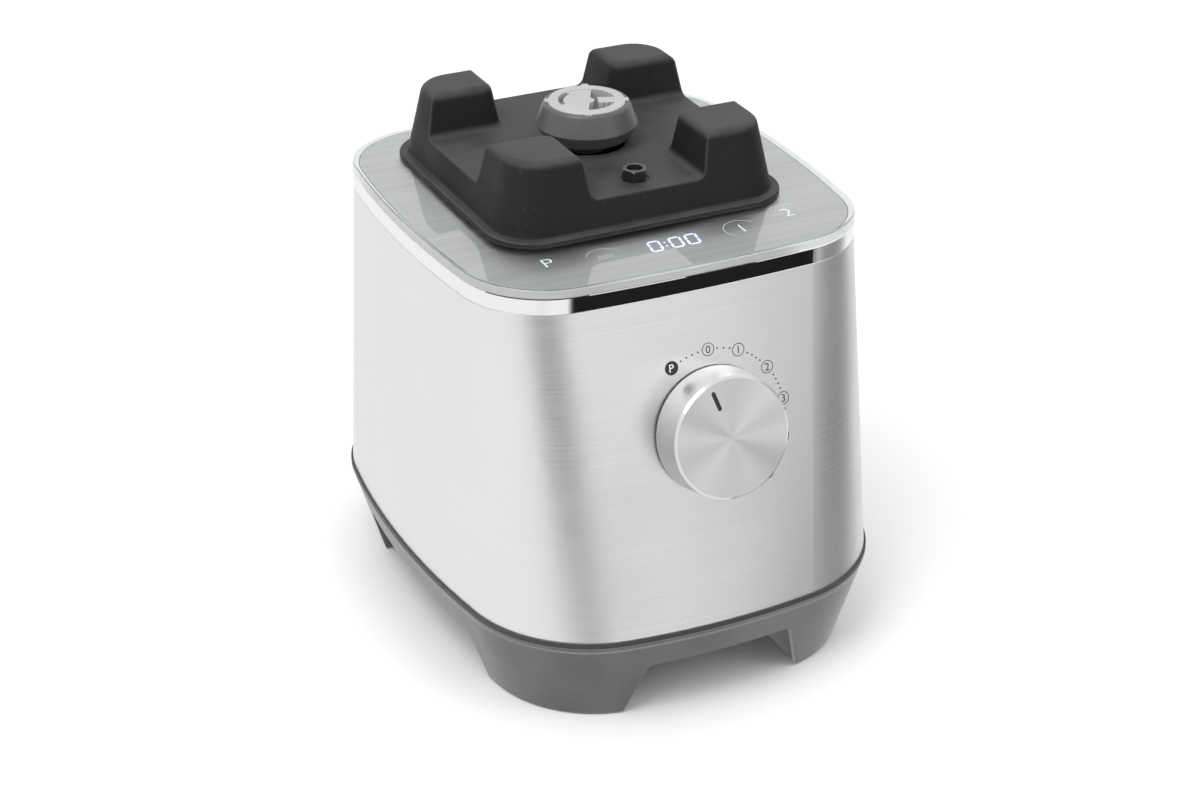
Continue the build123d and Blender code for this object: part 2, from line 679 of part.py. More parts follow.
def make_jar_pad():
    """Rubber seat for the jar: lip, raised plateau and four posts that locate the jar."""
    body = loft([pad_section(DECK_TOP), pad_section(POST_TOP)], ruled=True)
    body -= channel("X") + channel("Y")
    body = fillet(inner_post_edges(body), POST_INNER_FILLET)
    body = fillet(seat_edges(body), SEAT_FILLET)
    body = fillet(body.faces().filter_by(Axis.Z).group_by(Axis.Z)[-1].edges(), POST_TOP_FILLET)
    lip = Pos(0, DRIVE_Y, DECK_TOP) * extrude(RectangleRounded(2 * PAD_X, 2 * PAD_Y, PAD_CORNER), PAD_LIP_T)
    lip = fillet(lip.edges().group_by(Axis.Z)[-1], PAD_LIP_T / 2)
    plug = on_drive(rod(DECK_HOLE_R - WALL_GAP, OVERLAY_Z, DECK_TOP))
    pad = body + lip + plug
    hole = on_drive(rod(PAD_HOLE_R, OVERLAY_Z - 1, PLATEAU_Z + 1))
    hole += on_drive(Pos(0, 0, PLATEAU_Z - PAD_HOLE_EDGE / 2) * Cone(PAD_HOLE_R, PAD_HOLE_R + PAD_HOLE_EDGE, PAD_HOLE_EDGE))
    seat = rod(BUSH_R + WALL_GAP, OVERLAY_Z - 1, PLATEAU_Z + 1, 0, NUT_Y)
    seat += rod(NUT_POCKET_R, PLATEAU_Z - NUT_POCKET_H, PLATEAU_Z + 1, 0, NUT_Y)
    return pad - hole - seat


def inner_post_edges(body):
    """The upright edges of the posts that face the drive axis."""
    reach = hypot(CHANNEL_HALF, CHANNEL_HALF) + POST_H
    near = [
        e for e in body.edges()
        if hypot(e.center().X, e.center().Y - DRIVE_Y) < reach and e.center().Z > PLATEAU_Z + 1
        and abs(e.tangent_at(0.5).Z) > 0.8
    ]
    return ShapeList(near)


def seat_edges(body):
    """The lines along which the posts' inner faces meet the jar seat."""
    level = body.edges().filter_by_position(Axis.Z, PLATEAU_Z - 0.1, PLATEAU_Z + 0.1)
    return level.filter_by(lambda e: hypot(e.center().X, e.center().Y - DRIVE_Y) < 0.85 * PAD_X)


# ================================================================ drive coupling
def make_drive_collar():
    """Conical collar that carries the socket and throws spills off the shaft."""
    profile = Polygon(
        (COLLAR_HUB_R, COLLAR_BOTTOM), (COLLAR_FOOT_R, COLLAR_BOTTOM), (COLLAR_WIDE_R, COLLAR_WIDE_Z),
        (COLLAR_NECK_R + COLLAR_SHOULDER, COLLAR_TOP - COLLAR_SHOULDER), (COLLAR_NECK_R, COLLAR_TOP),
        (COLLAR_HUB_R, COLLAR_TOP),
        align=None,
    )
    collar = revolve(Plane.XZ * profile, Axis.Z)
    collar = fillet(collar.edges().filter_by(GeomType.CIRCLE).group_by(SortBy.RADIUS)[-1], 0.8)
    collar += rod(COLLAR_HUB_R, COLLAR_HUB_Z, COLLAR_TOP)
    collar -= rod(SOCKET_R + SEAT_GAP, SOCKET_Z, COLLAR_TOP + 1)
    return on_drive(collar - rod(SHAFT_R + SEAT_GAP, COLLAR_HUB_Z - 1, SOCKET_Z + 1))


def make_drive_socket():
    """Light plastic claw socket with four locating tabs in the collar's rim."""
    socket = rod(SOCKET_R, SOCKET_Z, SOCKET_TOP)
    rim = socket.edges().group_by(Axis.Z)[-1]
    socket = chamfer(rim, 0.5)
    for quarter in range(4):
        tab = block(SOCKET_R - 1, COLLAR_NECK_R, -TAB_W / 2, TAB_W / 2, COLLAR_TOP, SOCKET_TOP)
        socket += Rot(0, 0, 90 * quarter + TAB_TURN) * tab
    cavity = rod(CAVITY_R, SOCKET_FLOOR, SOCKET_TOP + 1) - claws()
    socket -= cavity
    socket -= crescent_pocket()
    return on_drive(socket - rod(SHAFT_R + SEAT_GAP, SOCKET_Z - 1, SHAFT_TOP))


def claws():
    """What stays standing inside the socket's cavity: a broad cheek and two dogs."""
    top = SOCKET_TOP - 0.4
    cheek = Rot(0, 0, CHEEK_ANGLE) * block(CHEEK_REACH, 2 * CAVITY_R, -2 * CAVITY_R, 2 * CAVITY_R, 0, top)
    nose = rod(NOSE_R, 0, top, *polar(CHEEK_REACH + 1.5, NOSE_ANGLE))
    dog = Rot(0, 0, DOG_ANGLE) * block(DOG_REACH, 2 * CAVITY_R, -DOG_HALF, DOG_HALF, 0, top)
    for i in range(3):
        dog += Rot(0, 0, DOG_ANGLE) * rod(RIB_R, 0, top, DOG_REACH + RIB_PITCH * (i + 0.6), -DOG_HALF)
    key = Rot(0, 0, KEY_ANGLE) * block(KEY_REACH, 2 * CAVITY_R, -KEY_HALF, KEY_HALF, 0, top - 1.5)
    return cheek + nose + dog + key


def crescent_pocket():
    """Shallow curved pocket in the cheek, beside the rim."""
    ring = tube(CAVITY_R, CAVITY_R - POCKET_W, SOCKET_TOP - POCKET_DEPTH, SOCKET_TOP + 1)
    far, middle = 3 * CAVITY_R, (POCKET_FROM + POCKET_TO) / 2
    wedge = Polygon((0, 0), polar(far, POCKET_FROM), polar(far, middle), polar(far, POCKET_TO), align=None)
    return ring & Pos(0, 0, SOCKET_TOP - POCKET_DEPTH - 1) * extrude(wedge, POCKET_DEPTH + 3)


def make_shaft_seal():
    """Rubber seal in the deck that keeps spills off the motor."""
    seal = rod(SEAL_SEAT_R - SEAT_GAP, DECK_Z, OVERLAY_Z) + rod(SHAFT_R + 5, OVERLAY_Z, OVERLAY_Z + 3)
    seal -= tube(SEAL_SEAT_R - 3, SHAFT_R + 4, OVERLAY_Z - 1.2, OVERLAY_Z)
    return on_drive(seal - rod(SHAFT_R + RUN_GAP, DECK_Z - 1, GLASS_Z + 4))


# ================================================================ jar interlock
def make_interlock_nut():
    """Hexagonal bush in front of the coupling; the jar presses the plunger inside it."""
    seat = PLATEAU_Z - NUT_POCKET_H
    nut = hexagon(NUT_FLATS, seat, PLATEAU_Z + NUT_H, 0, NUT_Y)
    crown = Cone(NUT_FLATS / 2 + NUT_H + 0.2, NUT_FLATS / 2 + 0.2, NUT_H)
    nut = nut & (Pos(0, NUT_Y, PLATEAU_Z + NUT_H / 2) * crown + rod(NUT_FLATS, seat, PLATEAU_Z, 0, NUT_Y))
    nut += rod(BUSH_R, BUSH_Z, seat, 0, NUT_Y)
    nut -= rod(NUT_HOLE_R, PLATEAU_Z + 1, PLATEAU_Z + NUT_H + 1, 0, NUT_Y)
    return nut - rod(BUSH_BORE, BUSH_Z - 1, PLATEAU_Z + 2, 0, NUT_Y)


def plunger_levels():
    """Top of the plunger, top of its flange and its lower tip, at rest."""
    flange_top = BUSH_Z
    spring_foot = flange_top - FLANGE_T - SPRING_H
    return PLATEAU_Z + NUT_H - PLUNGER_RECESS, flange_top, spring_foot - BRACKET_T - 0.3


def make_interlock_plunger():
    top, flange_top, tip = plunger_levels()
    pin = rod(PLUNGER_R, tip, top, 0, NUT_Y)
    pin = fillet(pin.edges().group_by(Axis.Z)[-1], 1.2)
    return pin + rod(FLANGE_R, flange_top - FLANGE_T, flange_top, 0, NUT_Y)


def make_interlock_spring():
    """Coil spring between the plunger's flange and the switch bracket."""
    foot = plunger_levels()[1] - FLANGE_T - SPRING_H
    path = Helix(pitch=(SPRING_H - 2 * SPRING_WIRE) / SPRING_TURNS, height=SPRING_H - 2 * SPRING_WIRE, radius=SPRING_R)
    section = Plane(origin=path @ 0, z_dir=path % 0) * Circle(SPRING_WIRE)
    return Pos(0, NUT_Y, foot + SPRING_WIRE) * sweep(section, path)


def switch_top():
    return plunger_levels()[2] - SWITCH_GAP - SWITCH_BUTTON_H


def make_interlock_bracket():
    """Strap under the deck that holds the spring's foot and the switch."""
    foot = plunger_levels()[1] - FLANGE_T - SPRING_H
    half_x, half_y = SWITCH_X / 2 + BRACKET_T + 1, SWITCH_Y / 2
    shelf = block(-half_x, half_x, NUT_Y - FLANGE_R, NUT_Y + FLANGE_R, foot - BRACKET_T, foot)
    shelf -= rod(BUSH_BORE + WALL_GAP, foot - 5, foot + 5, 0, NUT_Y)
    low = switch_top() - SWITCH_H
    for side in (-1, 1):
        x0, x1 = sorted((side * (half_x - BRACKET_T), side * half_x))
        shelf += block(x0, x1, NUT_Y - half_y, NUT_Y + half_y, low, DECK_Z)
        tab0, tab1 = sorted((side * half_x, side * (half_x + BRACKET_TAB)))
        shelf += block(tab0, tab1, NUT_Y - half_y, NUT_Y + half_y, DECK_Z - BRACKET_T, DECK_Z)
    return shelf


def make_interlock_switch():
    half_x, half_y, top = SWITCH_X / 2, SWITCH_Y / 2, switch_top()
    body = block(-half_x, half_x, NUT_Y - half_y, NUT_Y + half_y, top - SWITCH_H, top)
    body -= rod(SWITCH_BUTTON_R + RUN_GAP, top - SWITCH_BUTTON_L, top + 1, 0, NUT_Y)
    low = top - SWITCH_H
    for x in SWITCH_PINS:
        body += block(x - 0.3, x + 0.3, NUT_Y - 2, NUT_Y + 2, low - SWITCH_PIN_L, low)
    return body


def make_switch_button():
    top = switch_top()
    return rod(SWITCH_BUTTON_R, top - SWITCH_BUTTON_L + PLUNGER_TRAVEL + 0.5, top + SWITCH_BUTTON_H, 0, NUT_Y)


# ================================================================ speed knob
def make_knob_cap():
    """Spun aluminium cup with a polished bevel round its face and a slot for the pointer."""
    rim = KNOB_LIFT
    outside = up_from(rim, Cone, KNOB_BASE_R, KNOB_FACE_R, KNOB_H)
    outside = chamfer(outside.edges().group_by(Axis.Z)[-1], KNOB_EDGE)
    inside = up_from(rim - 1, Cylinder, KNOB_FACE_R - KNOB_WALL, KNOB_H + 1 - KNOB_WALL)
    return on_knob(outside - inside - pointer_bar(1.0))


def pointer_bar(over):
    """Round-ended bar in the knob's face, long enough upwards to cut with."""
    length = POINTER_OUT - POINTER_IN
    face = KNOB_LIFT + KNOB_H
    bar = extrude(SlotOverall(length, POINTER_W), POINTER_T + over)
    bar = Pos(0, (POINTER_OUT + POINTER_IN) / 2, face - POINTER_T) * Rot(0, 0, 90) * bar
    return Rot(0, 0, POINTER_ANGLE) * bar


def make_knob_pointer():
    bar = pointer_bar(-0.15)
    return on_knob(bar)


def make_knob_core():
    """Plastic hub pressed into the cap, with a flatted bore for the selector's shaft."""
    inner_r = KNOB_FACE_R - KNOB_WALL - SEAT_GAP
    top = KNOB_LIFT + KNOB_H - KNOB_WALL
    disc = up_from(top - 3, Cylinder, inner_r, 3)
    hub = up_from(KNOB_LIFT + 3, Cylinder, 6.5, top - KNOB_LIFT - 4)
    skirt = up_from(KNOB_LIFT + 2, Cylinder, inner_r, top - KNOB_LIFT - 3)
    skirt -= up_from(KNOB_LIFT, Cylinder, inner_r - 2, top)
    bore = up_from(-1, Cylinder, SELECTOR_SHAFT_R + SEAT_GAP, KNOB_LIFT + 1 + KNOB_H - 5)
    return on_knob(disc + skirt + hub - bore)


def make_knob_ring():
    """Black washer that closes the gap between the flat knob and the bowed wall."""
    ring = up_from(-3, Cylinder, RING_R, 3 + RING_H) - Cylinder(RING_HOLE_R, 20)
    return on_knob(ring) - tapered(body_plan, SHELL_Z, BAND_Z)


def make_selector_shaft():
    length = SELECTOR_DEPTH + KNOB_H - 8
    return on_knob(up_from(-SELECTOR_DEPTH + 2, Cylinder, SELECTOR_SHAFT_R, length))


def make_selector_body():
    """Rotary speed selector behind the front wall, with its threaded neck through the wall."""
    back = -SHELL_T - WALL_GAP
    case = up_from(back - SELECTOR_DEPTH, Box, 2 * SELECTOR_HALF, 2 * SELECTOR_HALF, SELECTOR_DEPTH)
    case = chamfer(case.edges().filter_by(Axis.Z), 3)
    neck = up_from(back, Cylinder, SELECTOR_BUSH_R, SELECTOR_NUT_H + 2)
    bore = up_from(-SELECTOR_DEPTH + 1, Cylinder, SELECTOR_SHAFT_R + RUN_GAP, SELECTOR_DEPTH + 10)
    lugs = [Pos(x, -SELECTOR_HALF - 2.5, back - 6) * Box(1, 5, 4) for x in (-8, -4, 0, 4, 8)]
    return on_knob(case + neck - bore + lugs)


def make_selector_nut():
    nut = extrude(RegularPolygon(SELECTOR_NUT_FLATS / 2, 6, major_radius=False), SELECTOR_NUT_H)
    nut = Pos(0, 0, 0.1) * nut - Cylinder(SELECTOR_BUSH_R + SEAT_GAP, 20)
    return on_knob(nut)


# ================================================================ motor, on the drive axis
def sector(outer, inner, half_angle, z0, z1, at=0.0):
    """Part of a ring, centred on direction at."""
    reach = 3 * outer
    corners = [(0, 0)] + [polar(reach, at + half_angle * k / 2) for k in (-2, -1, 0, 1, 2)]
    wedge = Pos(0, 0, z0 - 1) * extrude(Polygon(*corners, align=None), z1 - z0 + 2)
    return tube(outer, inner, z0, z1) & wedge


def bolt_holes(radius, z0, z1):
    holes = Compound([rod(radius, z0, z1, *polar(BOLT_RADIUS, a)) for a in BOLT_ANGLES])
    return holes


def make_stator_core():
    """Laminated yoke with two salient poles."""
    core = tube(STATOR_R, STATOR_YOKE_R, STATOR_Z, STATOR_TOP)
    for side in (0, 180):
        core += sector(STATOR_BORE_R + SHOE_T, STATOR_BORE_R, POLE_SPAN, STATOR_Z, STATOR_TOP, side)
        x0, x1 = STATOR_BORE_R + SHOE_T / 2, STATOR_YOKE_R + 1
        core += Rot(0, 0, side) * block(x0, x1, -POLE_NECK, POLE_NECK, STATOR_Z, STATOR_TOP)
    return on_drive(core - bolt_holes(BOLT_R + SEAT_GAP, STATOR_Z - 1, STATOR_TOP + 1))


def make_field_coils():
    """Two coils, each wound round the neck of one pole."""
    coils = []
    inner, outer = STATOR_BORE_R + SHOE_T + WALL_GAP, STATOR_YOKE_R - WALL_GAP
    half = POLE_NECK + WALL_GAP
    for side in (0, 180):
        coil = sector(outer, inner, COIL_SPAN, STATOR_Z - COIL_END, STATOR_TOP + COIL_END, side)
        core = block(0, 2 * outer, -half, half, STATOR_Z - WALL_GAP, STATOR_TOP + WALL_GAP)
        coils.append(coil - Rot(0, 0, side) * core)
    return on_drive(Compound(coils))


def make_lower_bracket():
    """Cast frame with the lower bearing cup and windows for the brush holders."""
    frame = tube(STATOR_R, BRACKET_RING_IN, LOWER_PLATE_Z, STATOR_Z)
    frame += rod(STATOR_R, LOWER_PLATE_Z, LOWER_PLATE_Z + BRACKET_PLATE)
    frame += rod(BEARING_CUP_R, LOWER_BEARING_Z, LOWER_PLATE_Z)
    frame -= bracket_windows(LOWER_PLATE_Z - 1, LOWER_PLATE_Z + BRACKET_PLATE + 1)
    frame -= rod(BEARING_R, LOWER_BEARING_Z - 1, LOWER_BEARING_Z + BEARING_H)
    frame -= rod(SHAFT_R + 2, LOWER_BEARING_Z, LOWER_PLATE_Z + BRACKET_PLATE + 1)
    half_w, half_h = BRUSH_W / 2 + BRUSH_WALL, BRUSH_H / 2 + BRUSH_WALL
    window = block(-HOLDER_OUT, HOLDER_OUT, -half_w, half_w, BRUSH_Z - half_h, BRUSH_Z + half_h)
    frame -= window
    return on_drive(frame - bolt_holes(BOLT_R + SEAT_GAP, LOWER_PLATE_Z - 1, STATOR_Z + 1))


def bracket_windows(z0, z1):
    """Air openings between the spokes of a motor bracket."""
    openings = [sector(BRACKET_RING_IN - 3, BEARING_CUP_R + 2, 27, z0, z1, at) for at in (0, 90, 180, 270)]
    return Compound(openings)


def make_upper_bracket():
    """Cast frame with the upper bearing cup and four ears for the rubber mounts."""
    top = UPPER_PLATE_Z + BRACKET_PLATE
    frame = tube(STATOR_R, BRACKET_RING_IN, STATOR_TOP, top) + rod(STATOR_R, UPPER_PLATE_Z, top)
    frame += rod(BEARING_CUP_R, UPPER_PLATE_Z, UPPER_BEARING_Z + BEARING_H + 2)
    frame -= bracket_windows(UPPER_PLATE_Z - 1, top + 1)
    for angle in EAR_ANGLES:
        ear = block(STATOR_R - 4, EAR_REACH, -EAR_W / 2, EAR_W / 2, UPPER_PLATE_Z, top)
        ear += rod(EAR_W / 2, UPPER_PLATE_Z, top, EAR_REACH)
        frame += Rot(0, 0, angle) * (ear - rod(MOTOR_SCREW_R + WALL_GAP, 0, 2 * top, EAR_REACH))
    frame -= rod(BEARING_R, UPPER_BEARING_Z, UPPER_BEARING_Z + BEARING_H)
    frame -= rod(SHAFT_R + 2, UPPER_PLATE_Z - 1, UPPER_BEARING_Z + BEARING_H + 3)
    return on_drive(frame - bolt_holes(BOLT_R + SEAT_GAP, STATOR_TOP - 1, top + 1))


def make_bearing(z):
    """Sealed ball bearing, with the shield grooves on both faces."""
    ring = tube(BEARING_R - SEAT_GAP, SHAFT_R + RUN_GAP, z, z + BEARING_H)
    for face in (z, z + BEARING_H):
        ring -= tube(BEARING_R - 2, SHAFT_R + 2, face - 0.5, face + 0.5)
    return on_drive(ring)


def make_motor_bolts():
    """Through-bolts that clamp the two brackets to the stator."""
    low, high = LOWER_PLATE_Z, UPPER_PLATE_Z + BRACKET_PLATE
    bolts = []
    for angle in BOLT_ANGLES:
        x, y = polar(BOLT_RADIUS, angle)
        head = hexagon(BOLT_HEAD, low - BOLT_HEAD_H, low, x, y)
        nut = hexagon(BOLT_HEAD, high, high + BOLT_HEAD_H, x, y)
        bolts.append(head + rod(BOLT_R, low - BOLT_HEAD_H, high + BOLT_HEAD_H + 1, x, y) + nut)
    return on_drive(Compound(bolts))


def make_motor_dampers():
    """Waisted rubber mounts between the motor's ears and the deck."""
    low, high = UPPER_PLATE_Z + BRACKET_PLATE, UPPER_PLATE_Z + BRACKET_PLATE + DAMPER_H
    middle = (low + high) / 2
    damper = rod(DAMPER_R, low, high) - tube(DAMPER_R + 1, DAMPER_R - 1.5, middle - 1.5, middle + 1.5)
    damper -= rod(MOTOR_SCREW_R + SEAT_GAP, low - 1, high + 1)
    places = [polar(EAR_REACH, angle) for angle in EAR_ANGLES]
    return on_drive(Compound([Pos(x, y, 0) * damper for x, y in places]))


def make_motor_screws():
    screws = []
    for angle in EAR_ANGLES:
        x, y = polar(EAR_REACH, angle)
        head = rod(2 * MOTOR_SCREW_R, UPPER_PLATE_Z - 2.5, UPPER_PLATE_Z, x, y)
        screws.append(head + rod(MOTOR_SCREW_R - SEAT_GAP, UPPER_PLATE_Z, DECK_Z - 5, x, y))
    return on_drive(Compound(screws))


def make_motor_shaft():
    shaft = rod(SHAFT_R, SHAFT_BOTTOM, SHAFT_TOP)
    return on_drive(chamfer(shaft.edges().filter_by(GeomType.CIRCLE), 0.6))


def slots(inner, z0, z1, width):
    return [
        Rot(0, 0, 360 / ROTOR_SLOTS * i) * block(inner, 2 * ROTOR_R, -width / 2, width / 2, z0, z1)
        for i in range(ROTOR_SLOTS)
    ]


def make_rotor_core():
    core = rod(ROTOR_R, STATOR_Z, STATOR_TOP)
    for slot in slots(ROTOR_R - SLOT_DEPTH, STATOR_Z - 1, STATOR_TOP + 1, SLOT_W):
        core -= slot
    return on_drive(core - rod(SHAFT_R + SEAT_GAP, STATOR_Z - 1, STATOR_TOP + 1))


def make_armature_windings():
    """Wire in the rotor's slots, joined by the end turns above and below."""
    low, high = STATOR_Z - WINDING_END, STATOR_TOP + WINDING_END
    inner = SHAFT_R + 4
    lower = tube(WINDING_R, inner, low, STATOR_Z)
    upper = tube(WINDING_R, inner, STATOR_TOP, high)
    lower = fillet(lower.edges().group_by(Axis.Z)[0].group_by(SortBy.LENGTH)[-1], 3)
    upper = fillet(upper.edges().group_by(Axis.Z)[-1].group_by(SortBy.LENGTH)[-1], 3)
    bars = [
        bar & rod(ROTOR_R - 1, STATOR_Z, STATOR_TOP)
        for bar in slots(ROTOR_R - SLOT_DEPTH + SEAT_GAP, STATOR_Z, STATOR_TOP, SLOT_W - 2 * SEAT_GAP)
    ]
    winding = lower + upper
    for bar in bars:
        winding += bar
    return on_drive(winding)


def make_commutator():
    top = COMMUTATOR_Z + COMMUTATOR_H
    drum = rod(COMMUTATOR_R, COMMUTATOR_Z, top) + rod(COMMUTATOR_R + COMMUTATOR_LIP, top - 2, top)
    for i in range(COMMUTATOR_BARS):
        groove = block(COMMUTATOR_R - 1, COMMUTATOR_R + 3, -0.3, 0.3, COMMUTATOR_Z - 1, top + 1)
        drum -= Rot(0, 0, 360 / COMMUTATOR_BARS * i) * groove
    return on_drive(drum - rod(SHAFT_R + SEAT_GAP, COMMUTATOR_Z - 1, top + 1))


def make_cooling_fan():
    """Radial fan under the lower bearing."""
    fan = rod(FAN_R, FAN_Z + FAN_H - 2, FAN_Z + FAN_H) + rod(2 * SHAFT_R, FAN_Z, FAN_Z + FAN_H)
    for i in range(FAN_BLADES):
        blade = block(4, FAN_R - 12, -0.9, 0.9, FAN_Z, FAN_Z + FAN_H - 1)
        blade = Pos(2 * SHAFT_R, 0, 0) * Rot(0, 0, FAN_SWEEP) * blade
        fan += Rot(0, 0, 360 / FAN_BLADES * i) * blade
    return on_drive(fan - rod(SHAFT_R + SEAT_GAP, FAN_Z - 1, FAN_Z + FAN_H + 1))


def make_fan_shroud():
    """Air duct from the pan's vents to the motor."""
    low, high = PAN_TOP, LOWER_PLATE_Z
    duct = tube(SHROUD_R, SHROUD_R - SHROUD_T, low, high)
    duct += tube(SHROUD_R + 5, SHROUD_R - SHROUD_T, low, low + 2)
    duct += tube(SHROUD_R, BRACKET_RING_IN, high - 2, high)
    bolts = bolt_holes(5, LOWER_PLATE_Z - 4, LOWER_PLATE_Z + 1)
    return on_drive(duct - bolts)


def pair(shape):
    """The shape and its copy on the other side of the drive axis."""
    return on_drive(Compound([shape, Rot(0, 0, 180) * shape]))


def make_brush_holders():
    half_w, half_h = BRUSH_W / 2 + BRUSH_WALL - SEAT_GAP, BRUSH_H / 2 + BRUSH_WALL - SEAT_GAP
    box = block(HOLDER_IN, HOLDER_OUT, -half_w, half_w, BRUSH_Z - half_h, BRUSH_Z + half_h)
    in_w, in_h = BRUSH_W / 2, BRUSH_H / 2
    hollow = block(HOLDER_IN - 1, HOLDER_OUT - HOLDER_END, -in_w, in_w, BRUSH_Z - in_h, BRUSH_Z + in_h)
    return pair(box - hollow)


def make_carbon_brushes():
    half_w, half_h = BRUSH_W / 2 - RUN_GAP, BRUSH_H / 2 - RUN_GAP
    tip = COMMUTATOR_R + WALL_GAP
    brush = block(tip, tip + BRUSH_L, -half_w, half_w, BRUSH_Z - half_h, BRUSH_Z + half_h)
    return pair(brush - rod(tip, 0, 2 * BRUSH_Z))


def make_brush_springs():
    """Coil springs that keep the carbon brushes on the commutator."""
    wire = BRUSH_SPRING_WIRE
    start, end = COMMUTATOR_R + WALL_GAP + BRUSH_L + wire, HOLDER_OUT - HOLDER_END - wire
    path = Helix(pitch=(end - start) / BRUSH_SPRING_TURNS, height=end - start, radius=BRUSH_SPRING_R)
    spring = sweep(Plane(origin=path @ 0, z_dir=path % 0) * Circle(wire), path)
    return pair(Pos(start, 0, BRUSH_Z) * Rot(0, 90, 0) * spring)


# ================================================================ control electronics
def make_board_carrier():
    """Upright tray in front of the motor that holds the power board."""
    y0, y1 = CARRIER_Y, CARRIER_Y + CARRIER_T
    plate = block(-CARRIER_HALF, CARRIER_HALF, y0, y1, PAN_TOP, PAN_TOP + CARRIER_H)
    plate += block(-CARRIER_HALF, CARRIER_HALF, y1, y1 + 8, PAN_TOP, PAN_TOP + CARRIER_T)
    for x in (-CARRIER_HALF, CARRIER_HALF - CARRIER_T):
        plate += block(x, x + CARRIER_T, y0 - 6, y1, PAN_TOP, PAN_TOP + CARRIER_H)
    for x, z in standoff_places():
        post = Pos(x, y0 - STANDOFF_H / 2, z) * Rot(90, 0, 0) * Cylinder(STANDOFF_R, STANDOFF_H)
        plate += post - Pos(x, y0, z) * Rot(90, 0, 0) * Cylinder(BOARD_SCREW_R + RUN_GAP, 3 * STANDOFF_H)
    return plate


def standoff_places():
    x, heights = BOARD_HALF - STANDOFF_EDGE, (STANDOFF_EDGE, BOARD_H - STANDOFF_EDGE)
    return [(sx * x, BOARD_Z + z) for sx in (-1, 1) for z in heights]


def make_power_board():
    face = CARRIER_Y - STANDOFF_H
    board = block(-BOARD_HALF, BOARD_HALF, face - BOARD_T, face, BOARD_Z, BOARD_Z + BOARD_H)
    for x, z in standoff_places():
        board -= Pos(x, face, z) * Rot(90, 0, 0) * Cylinder(BOARD_SCREW_R + WALL_GAP, 10)
    return board


def board_front():
    return CARRIER_Y - STANDOFF_H - BOARD_T


def on_board(x0, x1, z0, z1, depth):
    """Block on the board's front, placed from the board's lower edge."""
    return block(x0, x1, board_front() - depth, board_front(), BOARD_Z + z0, BOARD_Z + z1)


def make_capacitors():
    """Two electrolytic cans and a film capacitor."""
    cans = []
    for x, z in CAN_PLACES:
        can = Pos(x, board_front() - CAN_L / 2, BOARD_Z + z) * Rot(90, 0, 0) * Cylinder(CAN_R, CAN_L)
        cans.append(fillet(can.edges().filter_by(GeomType.CIRCLE), 0.6))
    return Compound([*cans, on_board(*FILM_CAP)])


def make_choke():
    """Ring choke that filters the mains."""
    x, z = CHOKE_AT
    reach = CHOKE_R + CHOKE_WIRE
    ring = Pos(x, board_front() - reach, BOARD_Z + z) * Rot(0, 90, 0) * Torus(CHOKE_R, CHOKE_WIRE)
    return ring + on_board(x - CHOKE_WIRE - 1, x + CHOKE_WIRE + 1, z - reach, z + reach, CHOKE_WIRE)


def make_heat_sink():
    """Finned block on the triac that drives the motor."""
    x0, x1, z0, z1, depth = SINK
    sink = on_board(x0, x1, z0, z1, 2 * FIN_T)
    for i in range(SINK_FINS):
        x = x0 + (x1 - x0 - FIN_T) * i / (SINK_FINS - 1)
        sink += on_board(x, x + FIN_T, z0, z1, depth)
    return sink


def make_mains_terminal():
    x0, x1, z0, z1, depth = TERMINAL
    terminal = on_board(x0, x1, z0, z1, depth)
    pitch = (x1 - x0) / TERMINAL_POLES
    for i in range(TERMINAL_POLES):
        place = Pos(x0 + pitch * (i + 0.5), board_front() - depth, BOARD_Z + (z0 + z1) / 2)
        terminal -= place * Rot(90, 0, 0) * Cylinder(2.2, 8)
    return terminal


def make_board_screws():
    head_r, head_h, length = 2 * BOARD_SCREW_R, 1.8, 7.0
    screws = []
    for x, z in standoff_places():
        head = Pos(x, board_front() - head_h / 2, z) * Rot(90, 0, 0) * Cylinder(head_r, head_h)
        shank = Pos(x, board_front() + length / 2, z) * Rot(90, 0, 0) * Cylinder(BOARD_SCREW_R, length)
        screws.append(head + shank)
    return Compound(screws)


